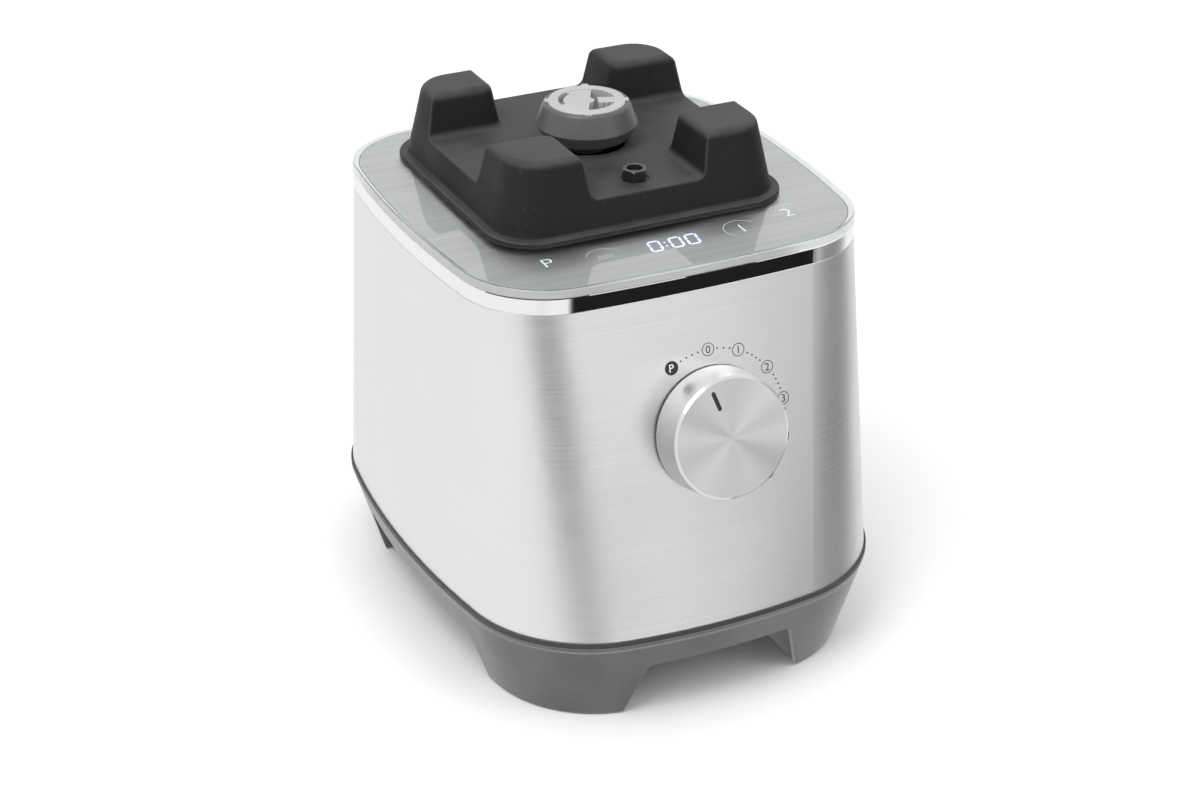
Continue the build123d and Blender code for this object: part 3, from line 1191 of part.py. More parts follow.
# ================================================================ all the pieces
def build():
    pieces = {
        "shell": make_shell(),
        "shell_gasket": make_gasket(),
        "chrome_band": make_chrome_band(),
        "base_skirt": make_base_skirt(),
        "bottom_pan": make_bottom_pan(),
        "pan_screws": make_pan_screws(),
        "tie_rods": make_tie_rods(),
        "inlet_gland": make_inlet_gland(),
        "top_deck": make_top_deck(),
        "deck_overlay": make_deck_overlay(),
        "glass_panel": make_glass_panel(),
        "touch_board": make_touch_board(),
        "touch_keys": make_touch_keys(),
        "display_module": make_display_module(),
        "jar_pad": make_jar_pad(),
        "drive_collar": make_drive_collar(),
        "drive_socket": make_drive_socket(),
        "shaft_seal": make_shaft_seal(),
        "interlock_nut": make_interlock_nut(),
        "interlock_plunger": make_interlock_plunger(),
        "interlock_spring": make_interlock_spring(),
        "interlock_bracket": make_interlock_bracket(),
        "interlock_switch": make_interlock_switch(),
        "switch_button": make_switch_button(),
        "knob_cap": make_knob_cap(),
        "knob_pointer": make_knob_pointer(),
        "knob_core": make_knob_core(),
        "knob_ring": make_knob_ring(),
        "selector_shaft": make_selector_shaft(),
        "selector_body": make_selector_body(),
        "selector_nut": make_selector_nut(),
        "stator_core": make_stator_core(),
        "field_coils": make_field_coils(),
        "lower_bracket": make_lower_bracket(),
        "upper_bracket": make_upper_bracket(),
        "lower_bearing": make_bearing(LOWER_BEARING_Z),
        "upper_bearing": make_bearing(UPPER_BEARING_Z),
        "motor_bolts": make_motor_bolts(),
        "motor_dampers": make_motor_dampers(),
        "motor_screws": make_motor_screws(),
        "motor_shaft": make_motor_shaft(),
        "rotor_core": make_rotor_core(),
        "armature_windings": make_armature_windings(),
        "commutator": make_commutator(),
        "brush_holders": make_brush_holders(),
        "carbon_brushes": make_carbon_brushes(),
        "brush_springs": make_brush_springs(),
        "cooling_fan": make_cooling_fan(),
        "fan_shroud": make_fan_shroud(),
        "board_carrier": make_board_carrier(),
        "power_board": make_power_board(),
        "capacitors": make_capacitors(),
        "mains_choke": make_choke(),
        "heat_sink": make_heat_sink(),
        "mains_terminal": make_mains_terminal(),
        "board_screws": make_board_screws(),
    }
    for number, place in enumerate(foot_places(), 1):
        pieces[f"foot_pad_{number}"] = make_foot_pad(*place)
    return pieces


os.makedirs("parts", exist_ok=True)
for name, piece in build().items():
    export_step(piece, f"parts/{name}.step")
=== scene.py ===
import json
from math import cos, pi, radians, sin

import bpy
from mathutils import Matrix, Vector
from mathutils.bvhtree import BVHTree


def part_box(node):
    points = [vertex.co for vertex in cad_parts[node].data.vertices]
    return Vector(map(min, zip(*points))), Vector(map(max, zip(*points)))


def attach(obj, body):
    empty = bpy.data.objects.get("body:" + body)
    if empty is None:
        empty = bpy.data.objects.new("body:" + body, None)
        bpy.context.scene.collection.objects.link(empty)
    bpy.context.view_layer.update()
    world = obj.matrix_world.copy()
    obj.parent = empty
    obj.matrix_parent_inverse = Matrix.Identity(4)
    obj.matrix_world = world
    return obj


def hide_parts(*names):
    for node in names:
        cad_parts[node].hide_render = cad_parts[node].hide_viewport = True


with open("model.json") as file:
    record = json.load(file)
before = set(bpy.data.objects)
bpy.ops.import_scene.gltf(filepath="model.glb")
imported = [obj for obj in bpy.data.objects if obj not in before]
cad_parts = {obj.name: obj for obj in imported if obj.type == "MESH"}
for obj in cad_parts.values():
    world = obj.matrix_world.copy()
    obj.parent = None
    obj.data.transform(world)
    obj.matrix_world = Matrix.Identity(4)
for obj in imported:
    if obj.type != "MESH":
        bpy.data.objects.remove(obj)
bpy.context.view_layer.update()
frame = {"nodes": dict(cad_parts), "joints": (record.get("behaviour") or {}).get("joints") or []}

# Looks, printed marks, studio and camera for a countertop blender's motor base.
# Metres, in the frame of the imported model: +Z up, the knob faces -Y.

NODES = frame["nodes"]
MM = 0.001


def joint(name):
    return next(j for j in frame["joints"] if j["name"] == name)


KNOB_AT = Vector(joint("knob_turn")["pos_m"])
KNOB_AXIS = Vector(joint("knob_turn")["axis"]).normalized()      # out of the front wall
DRIVE_AT = Vector(joint("spindle_spin")["pos_m"])
GLASS_LOW, GLASS_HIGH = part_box("glass_panel")

# ---------------------------------------------------------------- camera and studio
CAMERA_TARGET = Vector((0.0, DRIVE_AT.y, 0.094))
CAMERA_AZIMUTH = radians(-25.6)
CAMERA_ELEVATION = radians(27.7)
CAMERA_DISTANCE = 1.3145
CAMERA_LENS = 80.75
CAMERA_SHIFT = (0.0112, -0.0087)
FLOOR_HALF = 8.0

# ---------------------------------------------------------------- printed marks
PRINT_T = 0.04 * MM
PRINT_GAP = 0.15 * MM               # between the underlay and the glass
DIAL_R = 36.7 * MM
DIAL_RING_R = 2.9 * MM
DIAL_RING_W = 0.34 * MM
DIAL_DIGIT = 3.7 * MM
DIAL_DOT_R = 0.42 * MM
DIAL_MARKS = {"P": -30, "0": 0, "1": 24, "2": 52, "3": 80, "4": 108, "5": 136}   # clockwise from up
DIAL_START = 0.03                   # metres in front of the wall that the marks are cast from
DIAL_DOTS = (-22, -17.3, -12.7, -8, 7, 12, 17)
STEP_DOTS = (8, 12, 16, 20)         # dots between two such marks

KEY_LEGENDS = {"P": (-57.6, -63.9), "1": (36.2, -68.0), "2": (63.0, -61.5)}      # mm
PULSE_AT = (-32.2, -68.9)
KEY_SIZE = 8.6 * MM
KEY_THINNER = 0.16 * MM             # taken off each side of a letter's strokes
KEY_STROKE = 0.26 * MM
ARC_R = 8.5 * MM
PULSE_STEP = 1.5 * MM
PULSE_TALL = 3.0 * MM
CAP_SHARE = 0.72                    # height of a capital in the font, as a share of its size
DISPLAY_AT = (1.6, -68.6)
DIGIT_W = 5.2 * MM
DIGIT_H = 9.6 * MM
DIGIT_PITCH = 8.0 * MM
DIGIT_SLANT = 0.16
SEGMENT_W = 1.05 * MM
SEGMENT_GAP = 0.22 * MM


# ================================================================ material nodes
class Look:
    """One material: a Principled shader and short calls for the nodes that feed it."""

    def __init__(self, name, colour, roughness, metallic=0.0, **sockets):
        self.material = bpy.data.materials.new(name)
        self.material.use_nodes = True
        self.tree = self.material.node_tree
        self.shader = self.tree.nodes["Principled BSDF"]
        self.colour = (*colour, 1.0)
        self.set("Base Color", self.colour)
        self.set("Roughness", roughness)
        self.set("Metallic", metallic)
        for socket, value in sockets.items():
            self.set(socket.replace("_", " "), value)
        self.material.diffuse_color = self.colour
        self.material["roughness"] = roughness

    def set(self, socket, value):
        if isinstance(value, bpy.types.NodeSocket):
            self.tree.links.new(value, self.shader.inputs[socket])
        else:
            self.shader.inputs[socket].default_value = value

    def node(self, kind, inputs=(), out=0, **settings):
        made = self.tree.nodes.new("ShaderNode" + kind)
        for key, value in settings.items():
            setattr(made, key, value)
        for key, value in dict(inputs).items():
            if isinstance(value, bpy.types.NodeSocket):
                self.tree.links.new(value, made.inputs[key])
            else:
                made.inputs[key].default_value = value
        return made.outputs[out]

    def place(self):
        return self.node("TexCoord", out="Object")

    def stretched(self, scale):
        return self.node("Mapping", {"Vector": self.place(), "Scale": scale})

    def noise(self, scale, detail=2.0, stretch=(1, 1, 1), rough=0.5):
        """Noise of this many cycles per metre, from 0 to 1."""
        inputs = {"Vector": self.stretched(stretch), "Scale": scale, "Detail": detail, "Roughness": rough}
        return self.node("TexNoise", inputs, out=0)

    def span(self, value, low, high, from_low=0.3, from_high=0.7):
        """Maps a value smoothly from one range to another."""
        inputs = {"Value": value, "From Min": from_low, "From Max": from_high}
        inputs.update({"To Min": low, "To Max": high})
        return self.node("MapRange", inputs, interpolation_type="SMOOTHSTEP")

    def math(self, operation, a, b=0.0, c=0.0):
        return self.node("Math", {0: a, 1: b, 2: c}, operation=operation)

    def mix(self, factor, a, b):
        inputs = {"Factor": factor, 6: a, 7: b}
        return self.node("Mix", inputs, out=2, data_type="RGBA")

    def shade(self, factor, low, high):
        """The base colour, made darker or lighter by a factor from 0 to 1."""
        dark = tuple(c * low for c in self.colour[:3]) + (1.0,)
        light = tuple(min(c * high, 1.0) for c in self.colour[:3]) + (1.0,)
        return self.mix(factor, dark, light)

    def flat_normal(self):
        return self.node("NewGeometry", out="True Normal")

    def bump(self, *layers, normal=None):
        """Stacks (height, distance in metres) layers into the shader's normal."""
        for height, distance in layers:
            inputs = {"Height": height, "Distance": distance, "Strength": 1.0}
            if normal is not None:
                inputs["Normal"] = normal
            normal = self.node("Bump", inputs, out="Normal")
        self.set("Normal", normal)

    def edges(self, radius):
        """1 on sharp outer and inner edges, 0 on flat or gently curved faces."""
        soft = self.node("Bevel", {"Radius": radius}, samples=4)
        hard = self.node("NewGeometry", out="Normal")
        match = self.node("VectorMath", {0: soft, 1: hard}, out="Value", operation="DOT_PRODUCT")
        return self.span(match, 1.0, 0.0, 0.86, 0.995)

    def upward(self):
        """1 on faces that look up, 0 on walls."""
        normal = self.node("NewGeometry", out="Normal")
        height = self.node("SeparateXYZ", {"Vector": normal}, out="Z")
        return self.span(height, 0.0, 1.0, 0.25, 0.95)


# ================================================================ materials
def brushed(name, colour, along, roughness=0.3, anisotropic=0.6, depth=0.004, streak=0.96, flat=False):
    """Straight brushed metal: along is a stretch that is small in the brushing's direction,
    streak is how dark the darkest lines are, and flat is for a sheet with no curve."""
    look = Look(name, colour, roughness, 1.0, Anisotropic=anisotropic)
    fine = look.noise(1.0, 3.0, along, 0.65)
    coarse = look.noise(0.23, 2.0, along)
    smudge = look.noise(14, 3.0)
    tone = look.math("MULTIPLY_ADD", fine, 0.6, look.math("MULTIPLY", coarse, 0.4))
    look.set("Base Color", look.shade(look.span(tone, 0.0, 1.0, 0.25, 0.75), streak, 1.02))
    smooth = look.span(smudge, roughness - 0.02, roughness + 0.03)
    rough = look.math("ADD", look.span(fine, -0.03, 0.04), smooth)
    look.set("Roughness", rough)
    look.bump((fine, depth * MM), (coarse, depth * MM), normal=look.flat_normal() if flat else None)
    tangent = look.node("Tangent", direction_type="RADIAL", axis="Z")
    look.set("Tangent", tangent)
    return look.material


def stainless():
    return brushed("stainless_brushed", (0.83, 0.83, 0.825), (5, 5, 3200), 0.30, 0.7, 0.0016)


def deck_metal():
    return brushed("underlay_brushed", (0.56, 0.56, 0.56), (5, 900, 900), 0.34, 0.4, 0.006, 0.80, flat=True)


def chrome():
    look = Look("chrome_polished", (0.86, 0.86, 0.87), 0.04, 1.0)
    swirl = look.noise(60, 3.0)
    look.set("Roughness", look.span(swirl, 0.025, 0.07))
    look.set("Base Color", look.shade(look.noise(220, 2.0), 0.97, 1.02))
    look.bump((look.noise(35, 2.0), 0.006 * MM))
    return look.material


def machined(name, colour, roughness, grain=900):
    """Plain worked metal: fine grain, slightly brighter edges."""
    look = Look(name, colour, roughness, 1.0)
    fine = look.noise(grain, 3.0)
    wear_and_highlight = look.edges(0.5 * MM)
    tone = look.math("MAXIMUM", look.span(fine, 0.0, 0.6), wear_and_highlight)
    look.set("Base Color", look.shade(tone, 0.86, 1.12))
    look.set("Roughness", look.span(look.noise(grain / 5, 2.0), roughness - 0.06, roughness + 0.08))
    look.bump((fine, 0.01 * MM))
    return look.material


def moulded(name, colour, roughness, grain=1500, depth=0.012, wear_and_highlight_lift=1.35, **sockets):
    """Moulded plastic: a fine spark-eroded texture, faint flow marks and lighter edges, partly from rubbing
    and partly a painted highlight.
    """
    look = Look(name, colour, roughness, **sockets)
    fine = look.noise(grain, 2.0)
    flow = look.noise(22, 4.0)
    # Sharp edges are lightened: partly rubbed wear, partly a painted highlight along the edges.
    wear_and_highlight = look.edges(0.6 * MM)
    tone = look.math("MAXIMUM", look.span(flow, 0.15, 0.45), wear_and_highlight)
    look.set("Base Color", look.shade(tone, 0.88, wear_and_highlight_lift))
    smooth = look.span(flow, roughness - 0.03, roughness + 0.05)
    rough = look.math("ADD", look.span(fine, -0.04, 0.05), smooth)
    look.set("Roughness", rough)
    look.bump((fine, depth * MM), (flow, depth * MM))
    return look.material


def rubber_with_dust_and_painted_top_light():
    """The jar pad: dark rubber, greyed by dusting and handling on its edges and in specks; its upward faces
    are painted lighter, partly dusting and partly painted light from above.
    """
    look = Look("pad_rubber", (0.012, 0.012, 0.012), 0.6, Specular_IOR_Level=0.22)
    pores = look.noise(1100, 3.0)
    cloud = look.noise(38, 5.0, rough=0.62)
    # Upward faces painted lighter in patches: partly dust, partly painted light falling on the tops.
    top_light_and_dust = look.math("MULTIPLY", look.upward(), look.span(cloud, 0.45, 1.0, 0.25, 0.7))
    rubbed = look.math("MULTIPLY", look.edges(2.2 * MM), 0.5)
    dust_and_top_light = look.math("MAXIMUM", look.math("MULTIPLY", top_light_and_dust, 0.55), rubbed)
    specks = look.span(look.noise(520, 1.0), 0.0, 0.8, 0.70, 0.76)
    dust_and_top_light = look.math("MAXIMUM", dust_and_top_light, look.math("MULTIPLY", specks, 0.2))
    # Dark rubber greyed by dust, handling and the painted light on the tops.
    look.set("Base Color", look.mix(dust_and_top_light, (0.010, 0.010, 0.0104, 1), (0.105, 0.105, 0.107, 1)))
    look.set("Roughness", look.span(cloud, 0.48, 0.66))
    look.bump((pores, 0.02 * MM), (cloud, 0.10 * MM))
    return look.material


def rubber(name, colour):
    look = Look(name, colour, 0.6, Sheen_Weight=0.15)
    look.set("Base Color", look.shade(look.noise(60, 4.0), 0.8, 1.35))
    look.set("Roughness", look.span(look.noise(300, 2.0), 0.52, 0.7))
    look.bump((look.noise(1400, 2.0), 0.015 * MM))
    return look.material


def clear_glass():
    """Clear plate with a ground rim. Only the eye's own rays are bent by it: light from lamps,
    and light that other surfaces gather or mirror, goes straight through."""
    look = Look("clear_glass", (0.965, 0.985, 0.98), 0.0, IOR=1.5, Transmission_Weight=1.0)
    look.set("Normal", look.flat_normal())
    slope = look.node("SeparateXYZ", {"Vector": look.flat_normal()}, out="Z")
    ground = look.math("LESS_THAN", look.math("ABSOLUTE", slope), 0.7)
    haze = look.span(look.noise(30, 3.0), 0.0, 0.012)
    look.set("Roughness", look.math("MULTIPLY_ADD", ground, 0.2, haze))
    look.set("Transmission Weight", look.math("MULTIPLY_ADD", ground, -0.35, 1.0))
    lamp = look.node("LightPath", out="Is Shadow Ray")
    diffuse = look.node("LightPath", out="Is Diffuse Ray")
    glossy = look.node("LightPath", out="Is Glossy Ray")
    clear = look.node("BsdfTransparent", {"Color": (0.97, 0.98, 0.977, 1.0)})
    factor = look.math("MAXIMUM", lamp, look.math("MAXIMUM", diffuse, glossy))
    mixed = look.node("MixShader", {0: factor, 1: look.shader.outputs[0], 2: clear})
    output = look.tree.nodes["Material Output"]
    look.tree.links.new(mixed, output.inputs["Surface"])
    return look.material


GROOVES = 9000.0                    # noise cycles per metre across the knob's turning marks


def spun(name, colour):
    """Spun aluminium: grooves round the knob's axis, a polished bevel and a satin side."""
    look = Look(name, colour, 0.26, 1.0, Anisotropic=0.95)
    from_centre = look.node("VectorMath", {0: look.place(), 1: KNOB_AT}, operation="SUBTRACT")
    height = look.node("VectorMath", {0: from_centre, 1: KNOB_AXIS}, out="Value", operation="DOT_PRODUCT")
    around = look.node("VectorMath", {0: KNOB_AXIS, 1: from_centre}, operation="CROSS_PRODUCT")
    radius = look.node("VectorMath", {0: around}, out="Value", operation="LENGTH")
    world_around = look.node("VectorTransform", {0: around}, vector_type="VECTOR", convert_from="OBJECT",
                             convert_to="WORLD")
    look.set("Tangent", world_around)
    face_normal = look.node("NewGeometry", out="Normal")
    facing = look.node("VectorMath", {0: face_normal, 1: KNOB_AXIS}, out="Value", operation="DOT_PRODUCT")
    across = look.math("ADD", radius, look.math("MULTIPLY", height, 0.7))
    groove_inputs = {"W": look.math("MULTIPLY", across, GROOVES), "Scale": 1.0, "Detail": 2.0}
    grooves = look.node("TexNoise", groove_inputs, noise_dimensions="1D")
    face = look.span(facing, 0.0, 1.0, 0.90, 0.97)
    side = look.span(facing, 1.0, 0.0, 0.15, 0.30)
    bevel = look.math("SUBTRACT", 1.0, look.math("MAXIMUM", face, side))
    satin = look.math("ADD", look.span(grooves, 0.24, 0.32), look.math("MULTIPLY", side, 0.05))
    look.set("Roughness", look.math("MULTIPLY", satin, look.span(bevel, 1.0, 0.35, 0.0, 1.0)))
    look.set("Base Color", look.shade(look.span(grooves, 0.0, 1.0), 0.93, 1.04))
    look.bump((grooves, 0.0005 * MM))
    return look.material


def wound(name, colour, axis_scale):
    """Bundled enamelled wire."""
    look = Look(name, colour, 0.32, 1.0)
    strands = look.noise(1.0, 1.0, axis_scale)
    look.set("Base Color", look.shade(strands, 0.55, 1.3))
    look.set("Roughness", look.span(look.noise(200, 2.0), 0.25, 0.45))
    look.bump((strands, 0.25 * MM))
    return look.material


def laminated():
    look = Look("laminated_steel", (0.30, 0.29, 0.28), 0.45, 1.0)
    sheets = look.noise(1.0, 1.0, (3, 3, 1900))
    look.set("Base Color", look.shade(sheets, 0.6, 1.25))
    look.set("Roughness", look.span(look.noise(150, 3.0), 0.38, 0.58))
    look.bump((sheets, 0.06 * MM))
    return look.material


def circuit_board():
    look = Look("circuit_board", (0.03, 0.16, 0.08), 0.35, Coat_Weight=0.3)
    tracks = look.node("TexBrick", {"Vector": look.place(), "Scale": 90.0, "Mortar Size": 0.03}, out="Fac")
    look.set("Base Color", look.mix(tracks, (0.025, 0.13, 0.07, 1), (0.05, 0.24, 0.12, 1)))
    look.set("Roughness", look.span(look.noise(120, 2.0), 0.3, 0.45))
    look.bump((tracks, 0.035 * MM))
    return look.material


def ink(name, colour, roughness=0.5):
    look = Look(name, colour, roughness)
    look.set("Base Color", look.shade(look.noise(2500, 2.0), 0.9, 1.1))
    look.set("Roughness", look.span(look.noise(900, 2.0), roughness - 0.08, roughness + 0.08))
    return look.material


def glow(name, colour, strength):
    look = Look(name, colour, 0.4)
    look.set("Emission Color", (*colour, 1.0))
    look.set("Emission Strength", strength)
    look.set("Base Color", look.shade(look.noise(1500, 2.0), 0.9, 1.0))
    return look.material


# ================================================================ dressing the CAD nodes
def dress(material, *nodes):
    for name in nodes:
        mesh = NODES[name].data
        mesh.materials.clear()
        mesh.materials.append(material)


def dress_outside():
    dress(stainless(), "shell")
    dress(chrome(), "chrome_band")
    dress(deck_metal(), "deck_overlay")
    dress(rubber_with_dust_and_painted_top_light(), "jar_pad")
    dress(rubber("gasket_rubber", (0.022, 0.022, 0.023)), "shell_gasket")
    dress(rubber("foot_rubber", (0.05, 0.05, 0.052)), *(f"foot_pad_{k}" for k in range(1, 5)))
    # The skirt's edges are lightened up to 3.4 times its colour: a painted highlight along its sharp edges,
    # such as the foot notches.
    dress(moulded("skirt_plastic", (0.055, 0.056, 0.057), 0.30, wear_and_highlight_lift=3.4), "base_skirt")
    dress(moulded("collar_plastic", (0.060, 0.061, 0.063), 0.36, wear_and_highlight_lift=2.2), "drive_collar")
    dress(moulded("socket_plastic", (0.42, 0.42, 0.415), 0.42, wear_and_highlight_lift=1.3), "drive_socket")
    dress(moulded("bush_plastic", (0.006, 0.006, 0.007), 0.12, 700, 0.004, wear_and_highlight_lift=6.0), "interlock_nut")
    dress(spun("spun_aluminium", (0.74, 0.74, 0.735)), "knob_cap")
    dress(moulded("pointer_ink", (0.012, 0.012, 0.013), 0.4), "knob_pointer")


def dress_inside():
    black = moulded("black_plastic", (0.018, 0.018, 0.019), 0.5)
    dress(black, "bottom_pan", "inlet_gland", "top_deck", "interlock_plunger", "interlock_switch")
    dress(black, "knob_core", "knob_ring", "selector_body", "cooling_fan", "fan_shroud", "display_module")
    dress(moulded("white_plastic", (0.78, 0.78, 0.77), 0.4), "touch_keys", "switch_button")
    ivory = moulded("ivory_plastic", (0.62, 0.60, 0.52), 0.45)
    dress(ivory, "selector_shaft", "board_carrier", "mains_terminal")
    dress(moulded("can_sleeve", (0.03, 0.035, 0.06), 0.3, Coat_Weight=0.4), "capacitors")
    dress(moulded("ferrite", (0.05, 0.05, 0.055), 0.6, 600, 0.05), "mains_choke")
    dress(moulded("pressed_carbon", (0.025, 0.025, 0.026), 0.6, 2200, 0.03), "carbon_brushes")
    dress(rubber("seal_rubber", (0.018, 0.018, 0.018)), "shaft_seal", "motor_dampers")
    zinc = machined("zinc_steel", (0.55, 0.55, 0.56), 0.34)
    dress(zinc, "pan_screws", "tie_rods", "interlock_spring", "interlock_bracket", "selector_nut")
    dress(zinc, "motor_bolts", "motor_screws", "brush_springs", "board_screws")
    steel = machined("ground_steel", (0.66, 0.66, 0.66), 0.22)
    dress(steel, "motor_shaft", "lower_bearing", "upper_bearing")
    cast = machined("cast_aluminium", (0.58, 0.58, 0.58), 0.45, 500)
    dress(cast, "lower_bracket", "upper_bracket", "heat_sink")
    dress(machined("drawn_brass", (0.72, 0.55, 0.27), 0.3), "brush_holders", "commutator")
    dress(laminated(), "stator_core", "rotor_core")
    dress(wound("copper_wire", (0.75, 0.36, 0.18), (900, 900, 60)), "field_coils", "armature_windings")
    dress(circuit_board(), "touch_board", "power_board")


def make_glass_plate():
    """The glass, with its underside lifted off the underlay so that the print has room between them."""
    mesh = NODES["glass_panel"].data.copy()
    middle = (GLASS_LOW.z + GLASS_HIGH.z) / 2
    for vertex in mesh.vertices:
        if vertex.co.z < middle:
            vertex.co.z += PRINT_GAP
    mesh.materials.clear()
    mesh.materials.append(clear_glass())
    plate = bpy.data.objects.new("glass_plate", mesh)
    bpy.context.scene.collection.objects.link(plate)
    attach(plate, "base")
    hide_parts("glass_panel")


# ================================================================ flat shapes for printing
def solid_from(points_loops, thickness):
    """Closed plate from flat rings of points: one outer ring, and an inner one if it has a hole."""
    outer = points_loops[0]
    count = len(outer)
    verts = []
    faces = []
    for ring in points_loops:
        verts += [(x, y, 0.0) for x, y in ring]
        verts += [(x, y, thickness) for x, y in ring]
    if len(points_loops) == 1:
        faces.append(list(range(count))[::-1])
        faces.append(list(range(count, 2 * count)))
        faces += [(k, (k + 1) % count, count + (k + 1) % count, count + k) for k in range(count)]
        return verts, faces
    low_in, high_in = 2 * count, 3 * count
    for k in range(count):
        n = (k + 1) % count
        faces.append((k, n, count + n, count + k))
        faces.append((low_in + n, low_in + k, high_in + k, high_in + n))
        faces.append((count + k, count + n, high_in + n, high_in + k))
        faces.append((n, k, low_in + k, low_in + n))
    return verts, faces


def circle(radius, count=48, x=0.0, y=0.0):
    angles = [2 * pi * k / count for k in range(count)]
    return [(x + radius * cos(a), y + radius * sin(a)) for a in angles]


def arc_band(radius, width, start, stop, count=40):
    """Part of a ring, from start to stop degrees clockwise from up."""
    angles = [radians(start + (stop - start) * k / count) for k in range(count + 1)]
    outside = [((radius + width / 2) * sin(a), (radius + width / 2) * cos(a)) for a in angles]
    inside = [((radius - width / 2) * sin(a), (radius - width / 2) * cos(a)) for a in reversed(angles)]
    return outside + inside


def text_shape(text, size, thinner=0.0):
    """Verts and faces of a generic legend, centred, with a thickness of PRINT_T."""
    curve = bpy.data.curves.new("legend", "FONT")
    curve.body = text
    curve.size = size / CAP_SHARE
    curve.offset = -thinner
    curve.align_x = "CENTER"
    curve.align_y = "CENTER"
    curve.extrude = PRINT_T / 2
    curve.resolution_u = 6
    carrier = bpy.data.objects.new("legend", curve)
    mesh = bpy.data.meshes.new_from_object(carrier)
    xs = [v.co.x for v in mesh.vertices]
    ys = [v.co.y for v in mesh.vertices]
    middle = ((min(xs) + max(xs)) / 2, (min(ys) + max(ys)) / 2)
    verts = [(v.co.x - middle[0], v.co.y - middle[1], v.co.z + PRINT_T / 2) for v in mesh.vertices]
    faces = [tuple(p.vertices) for p in mesh.polygons]
    bpy.data.objects.remove(carrier)
    bpy.data.meshes.remove(mesh)
    bpy.data.curves.remove(curve)
    return verts, faces


class Print:
    """Collects flat shapes and lays them on a surface as one piece."""

    def __init__(self, name, material, body):
        self.name = name
        self.material = material
        self.body = body
        self.verts = []
        self.faces = []

    def add(self, shape, x=0.0, y=0.0, lift=0.0):
        verts, faces = shape
        start = len(self.verts)
        self.verts += [(vx + x, vy + y, vz + lift) for vx, vy, vz in verts]
        self.faces += [tuple(start + k for k in face) for face in faces]

    def finish(self, lay):
        """lay turns a point (across, up, height) into a place in the frame."""
        mesh = bpy.data.meshes.new(self.name)
        mesh.from_pydata([lay(*v) for v in self.verts], [], self.faces)
        mesh.update()
        mesh.materials.append(self.material)
        piece = bpy.data.objects.new(self.name, mesh)
        bpy.context.scene.collection.objects.link(piece)
        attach(piece, self.body)
        return piece


# ================================================================ dial marks on the front wall
def wall_layer():
    """Lays dial points round the knob onto the curved front wall."""
    shell = NODES["shell"].data
    tree = BVHTree.FromPolygons([v.co for v in shell.vertices], [p.vertices for p in shell.polygons])
    right = Vector((1.0, 0.0, 0.0))
    up = KNOB_AXIS.cross(right)

    def lay(across, above, height):
        start = KNOB_AT + right * across + up * above + KNOB_AXIS * DIAL_START
        hit, normal, _, _ = tree.ray_cast(start, -KNOB_AXIS)
        return hit + KNOB_AXIS * height
    return lay


def dial_point(angle):
    return DIAL_R * sin(radians(angle)), DIAL_R * cos(radians(angle))


def dial_dots():
    angles = list(DIAL_DOTS)
    for start in list(DIAL_MARKS.values())[2:-1]:
        angles += [start + d for d in STEP_DOTS]
    return angles


def make_dial():
    lay = wall_layer()
    dark = ink("dial_ink", (0.015, 0.015, 0.016))
    marks = Print("dial_marks", dark, "base")
    for text, angle in DIAL_MARKS.items():
        x, y = dial_point(angle)
        if text == "P":
            marks.add(solid_from([circle(DIAL_RING_R + DIAL_RING_W)], PRINT_T), x, y)
        else:
            rings = [circle(DIAL_RING_R + DIAL_RING_W / 2), circle(DIAL_RING_R - DIAL_RING_W / 2)]
            marks.add(solid_from(rings, PRINT_T), x, y)
            marks.add(text_shape(text, DIAL_DIGIT), x, y)
    for angle in dial_dots():
        marks.add(solid_from([circle(DIAL_DOT_R, 16)], PRINT_T), *dial_point(angle))
    marks.finish(lay)
    letter = Print("dial_letter", ink("dial_white", (0.85, 0.85, 0.85)), "base")
    x, y = dial_point(DIAL_MARKS["P"])
    letter.add(text_shape("P", DIAL_DIGIT), x, y, PRINT_T)
    letter.finish(lay)


# ================================================================ legends and display under the glass
def deck_layer(height):
    base = GLASS_LOW.z + height

    def lay(x, y, z):
        return Vector((x, y, base + z))
    return lay


def pulse_sign():
    """A square wave, drawn as one stroke."""
    step, tall, half = PULSE_STEP, PULSE_TALL, KEY_STROKE / 2
    path = [(-3, 0), (-2, 0), (-2, 1), (-1, 1), (-1, 0), (0, 0), (0, 1), (1, 1), (1, 0), (2, 0)]
    path += [(2, 1), (3, 1)]
    bars = []
    for (x0, y0), (x1, y1) in zip(path, path[1:]):
        low = (min(x0, x1) * step - half, (min(y0, y1) - 0.5) * tall - half)
        high = (max(x0, x1) * step + half, (max(y0, y1) - 0.5) * tall + half)
        bars.append([(low[0], low[1]), (high[0], low[1]), (high[0], high[1]), (low[0], high[1])])
    return bars


def make_key_legends():
    legends = Print("key_legends", ink("legend_white", (0.93, 0.93, 0.93)), "base")
    for text, (x, y) in KEY_LEGENDS.items():
        legends.add(text_shape(text, KEY_SIZE, KEY_THINNER), x * MM, y * MM)
    arcs = ((*PULSE_AT, -70, 70), (*KEY_LEGENDS["1"], -140, 60), (*KEY_LEGENDS["2"], -40, 30))
    for x, y, start, stop in arcs:
        legends.add(solid_from([arc_band(ARC_R, KEY_STROKE, start, stop)], PRINT_T), x * MM, y * MM)
    for bar in pulse_sign():
        legends.add(solid_from([bar], PRINT_T), PULSE_AT[0] * MM, PULSE_AT[1] * MM)
    legends.finish(deck_layer(PRINT_T))


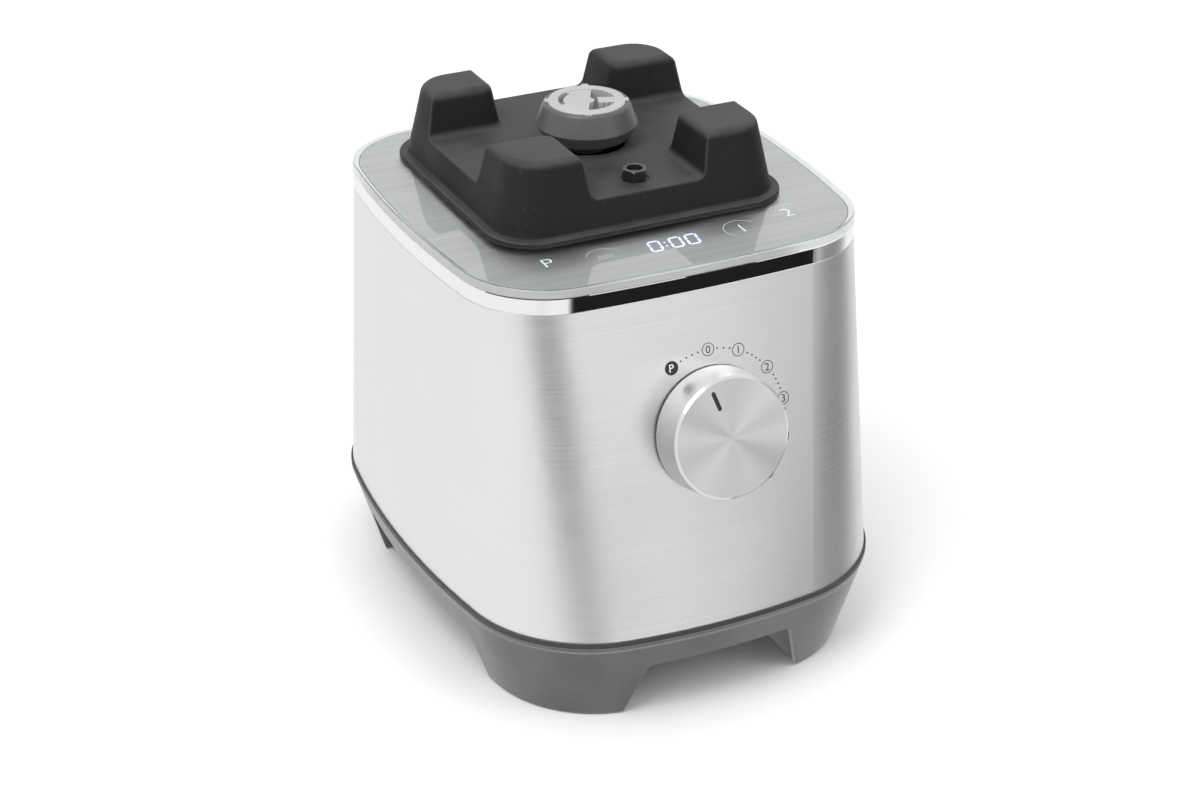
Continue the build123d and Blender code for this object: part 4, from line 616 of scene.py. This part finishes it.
def segment(x0, y0, x1, y1):
    """Six-cornered bar between two ends of a digit, pointed at both ends."""
    a, b = Vector((x0, y0)), Vector((x1, y1))
    along = (b - a).normalized()
    side = Vector((-along.y, along.x)) * SEGMENT_W / 2
    a += along * SEGMENT_GAP
    b -= along * SEGMENT_GAP
    shoulder = along * SEGMENT_W / 2
    points = [a, a + shoulder - side, b - shoulder - side, b, b - shoulder + side, a + shoulder + side]
    return [(p.x + DIGIT_SLANT * p.y, p.y) for p in points]


def zero_segments():
    w, h = DIGIT_W / 2, DIGIT_H / 2
    corners = [(-w, -h), (w, -h), (w, 0), (w, h), (-w, h), (-w, 0), (-w, -h)]
    return [segment(*p, *q) for p, q in zip(corners, corners[1:])]


def make_display():
    shown = Print("display_digits", glow("display_glow", (0.50, 0.52, 1.0), 1.6), "base")
    x0, y0 = DISPLAY_AT[0] * MM, DISPLAY_AT[1] * MM
    for k in (-1.15, 0.15, 1.15):
        for bar in zero_segments():
            shown.add(solid_from([bar], PRINT_T), x0 + k * DIGIT_PITCH, y0)
    for y in (-DIGIT_H / 5, DIGIT_H / 5):
        dot = circle(SEGMENT_W * 0.5, 16, DIGIT_SLANT * y - 0.5 * DIGIT_PITCH, y)
        shown.add(solid_from([dot], PRINT_T), x0, y0)
    shown.finish(deck_layer(PRINT_T))


# ================================================================ studio
def make_camera():
    data = bpy.data.cameras.new("camera")
    data.lens = CAMERA_LENS
    data.shift_x, data.shift_y = CAMERA_SHIFT
    camera = bpy.data.objects.new("camera", data)
    level = CAMERA_DISTANCE * cos(CAMERA_ELEVATION)
    height = CAMERA_DISTANCE * sin(CAMERA_ELEVATION)
    offset = Vector((level * sin(CAMERA_AZIMUTH), -level * cos(CAMERA_AZIMUTH), height))
    camera.location = CAMERA_TARGET + offset
    camera.rotation_euler = (-offset).to_track_quat("-Z", "Y").to_euler()
    bpy.context.scene.collection.objects.link(camera)
    bpy.context.scene.camera = camera


def make_floor():
    mesh = bpy.data.meshes.new("floor")
    corners = [(x * FLOOR_HALF, y * FLOOR_HALF, 0) for x, y in ((-1, -1), (1, -1), (1, 1), (-1, 1))]
    mesh.from_pydata(corners, [], [(0, 1, 2, 3)])
    look = Look("floor_white", (0.93, 0.93, 0.93), 0.7)
    look.set("Base Color", look.shade(look.noise(3, 2.0), 0.99, 1.01))
    mesh.materials.append(look.material)
    floor = bpy.data.objects.new("floor", mesh)
    floor.visible_glossy = False
    bpy.context.scene.collection.objects.link(floor)


def soft_box(name, place, aim, size, power):
    data = bpy.data.lights.new(name, "AREA")
    data.shape = "RECTANGLE"
    data.size, data.size_y = size
    data.energy = power
    lamp = bpy.data.objects.new(name, data)
    lamp.location = place
    lamp.rotation_euler = (Vector(aim) - Vector(place)).to_track_quat("-Z", "Y").to_euler()
    bpy.context.scene.collection.objects.link(lamp)


# Dark panels of the studio that polished and brushed metal mirror:
# (direction, cosine where the panel starts, cosine where it is full, how much it takes away)
PANELS = (
    ((0.36, -0.76, -0.54), 0.93, 0.970, 0.985),
    ((-0.45, -0.89, -0.04), 0.90, 0.985, 0.72),
    ((0.93, -0.36, -0.06), 0.74, 0.95, 0.72),
)


def make_world():
    """White studio with a few soft dark panels, which the camera itself doesn't see."""
    world = bpy.data.worlds.new("studio")
    world.use_nodes = True
    tree = world.node_tree
    bpy.context.scene.world = world
    background = tree.nodes["Background"]
    place = tree.nodes.new("ShaderNodeTexCoord").outputs["Generated"]

    def math(operation, a, b):
        made = tree.nodes.new("ShaderNodeMath")
        made.operation = operation
        for key, value in ((0, a), (1, b)):
            if isinstance(value, bpy.types.NodeSocket):
                tree.links.new(value, made.inputs[key])
            else:
                made.inputs[key].default_value = value
        return made.outputs[0]

    light = 1.0
    for direction, start, full, depth in PANELS:
        near = tree.nodes.new("ShaderNodeVectorMath")
        near.operation = "DOT_PRODUCT"
        tree.links.new(place, near.inputs[0])
        near.inputs[1].default_value = Vector(direction).normalized()
        ramp = tree.nodes.new("ShaderNodeMapRange")
        ramp.interpolation_type = "SMOOTHSTEP"
        limits = {"From Min": start, "From Max": full, "To Min": 1.0, "To Max": 1.0 - depth}
        for key, value in limits.items():
            ramp.inputs[key].default_value = value
        tree.links.new(near.outputs["Value"], ramp.inputs["Value"])
        light = math("MULTIPLY", ramp.outputs[0], light)
    seen = tree.nodes.new("ShaderNodeLightPath").outputs["Is Camera Ray"]
    strength = math("MAXIMUM", light, seen)
    background.inputs["Color"].default_value = (1.0, 1.0, 1.0, 1.0)
    tree.links.new(strength, background.inputs["Strength"])


def make_studio():
    make_world()
    soft_box("key", (-0.9, -0.5, 1.6), (0, 0, 0.1), (1.0, 1.0), 14)
    soft_box("fill", (1.0, -1.2, 1.2), (0, 0, 0.1), (0.8, 0.8), 5)
    bpy.context.scene.view_settings.view_transform = "Standard"


make_camera()
make_floor()
make_studio()
dress_outside()
dress_inside()
make_glass_plate()
make_dial()
make_key_legends()
make_display()
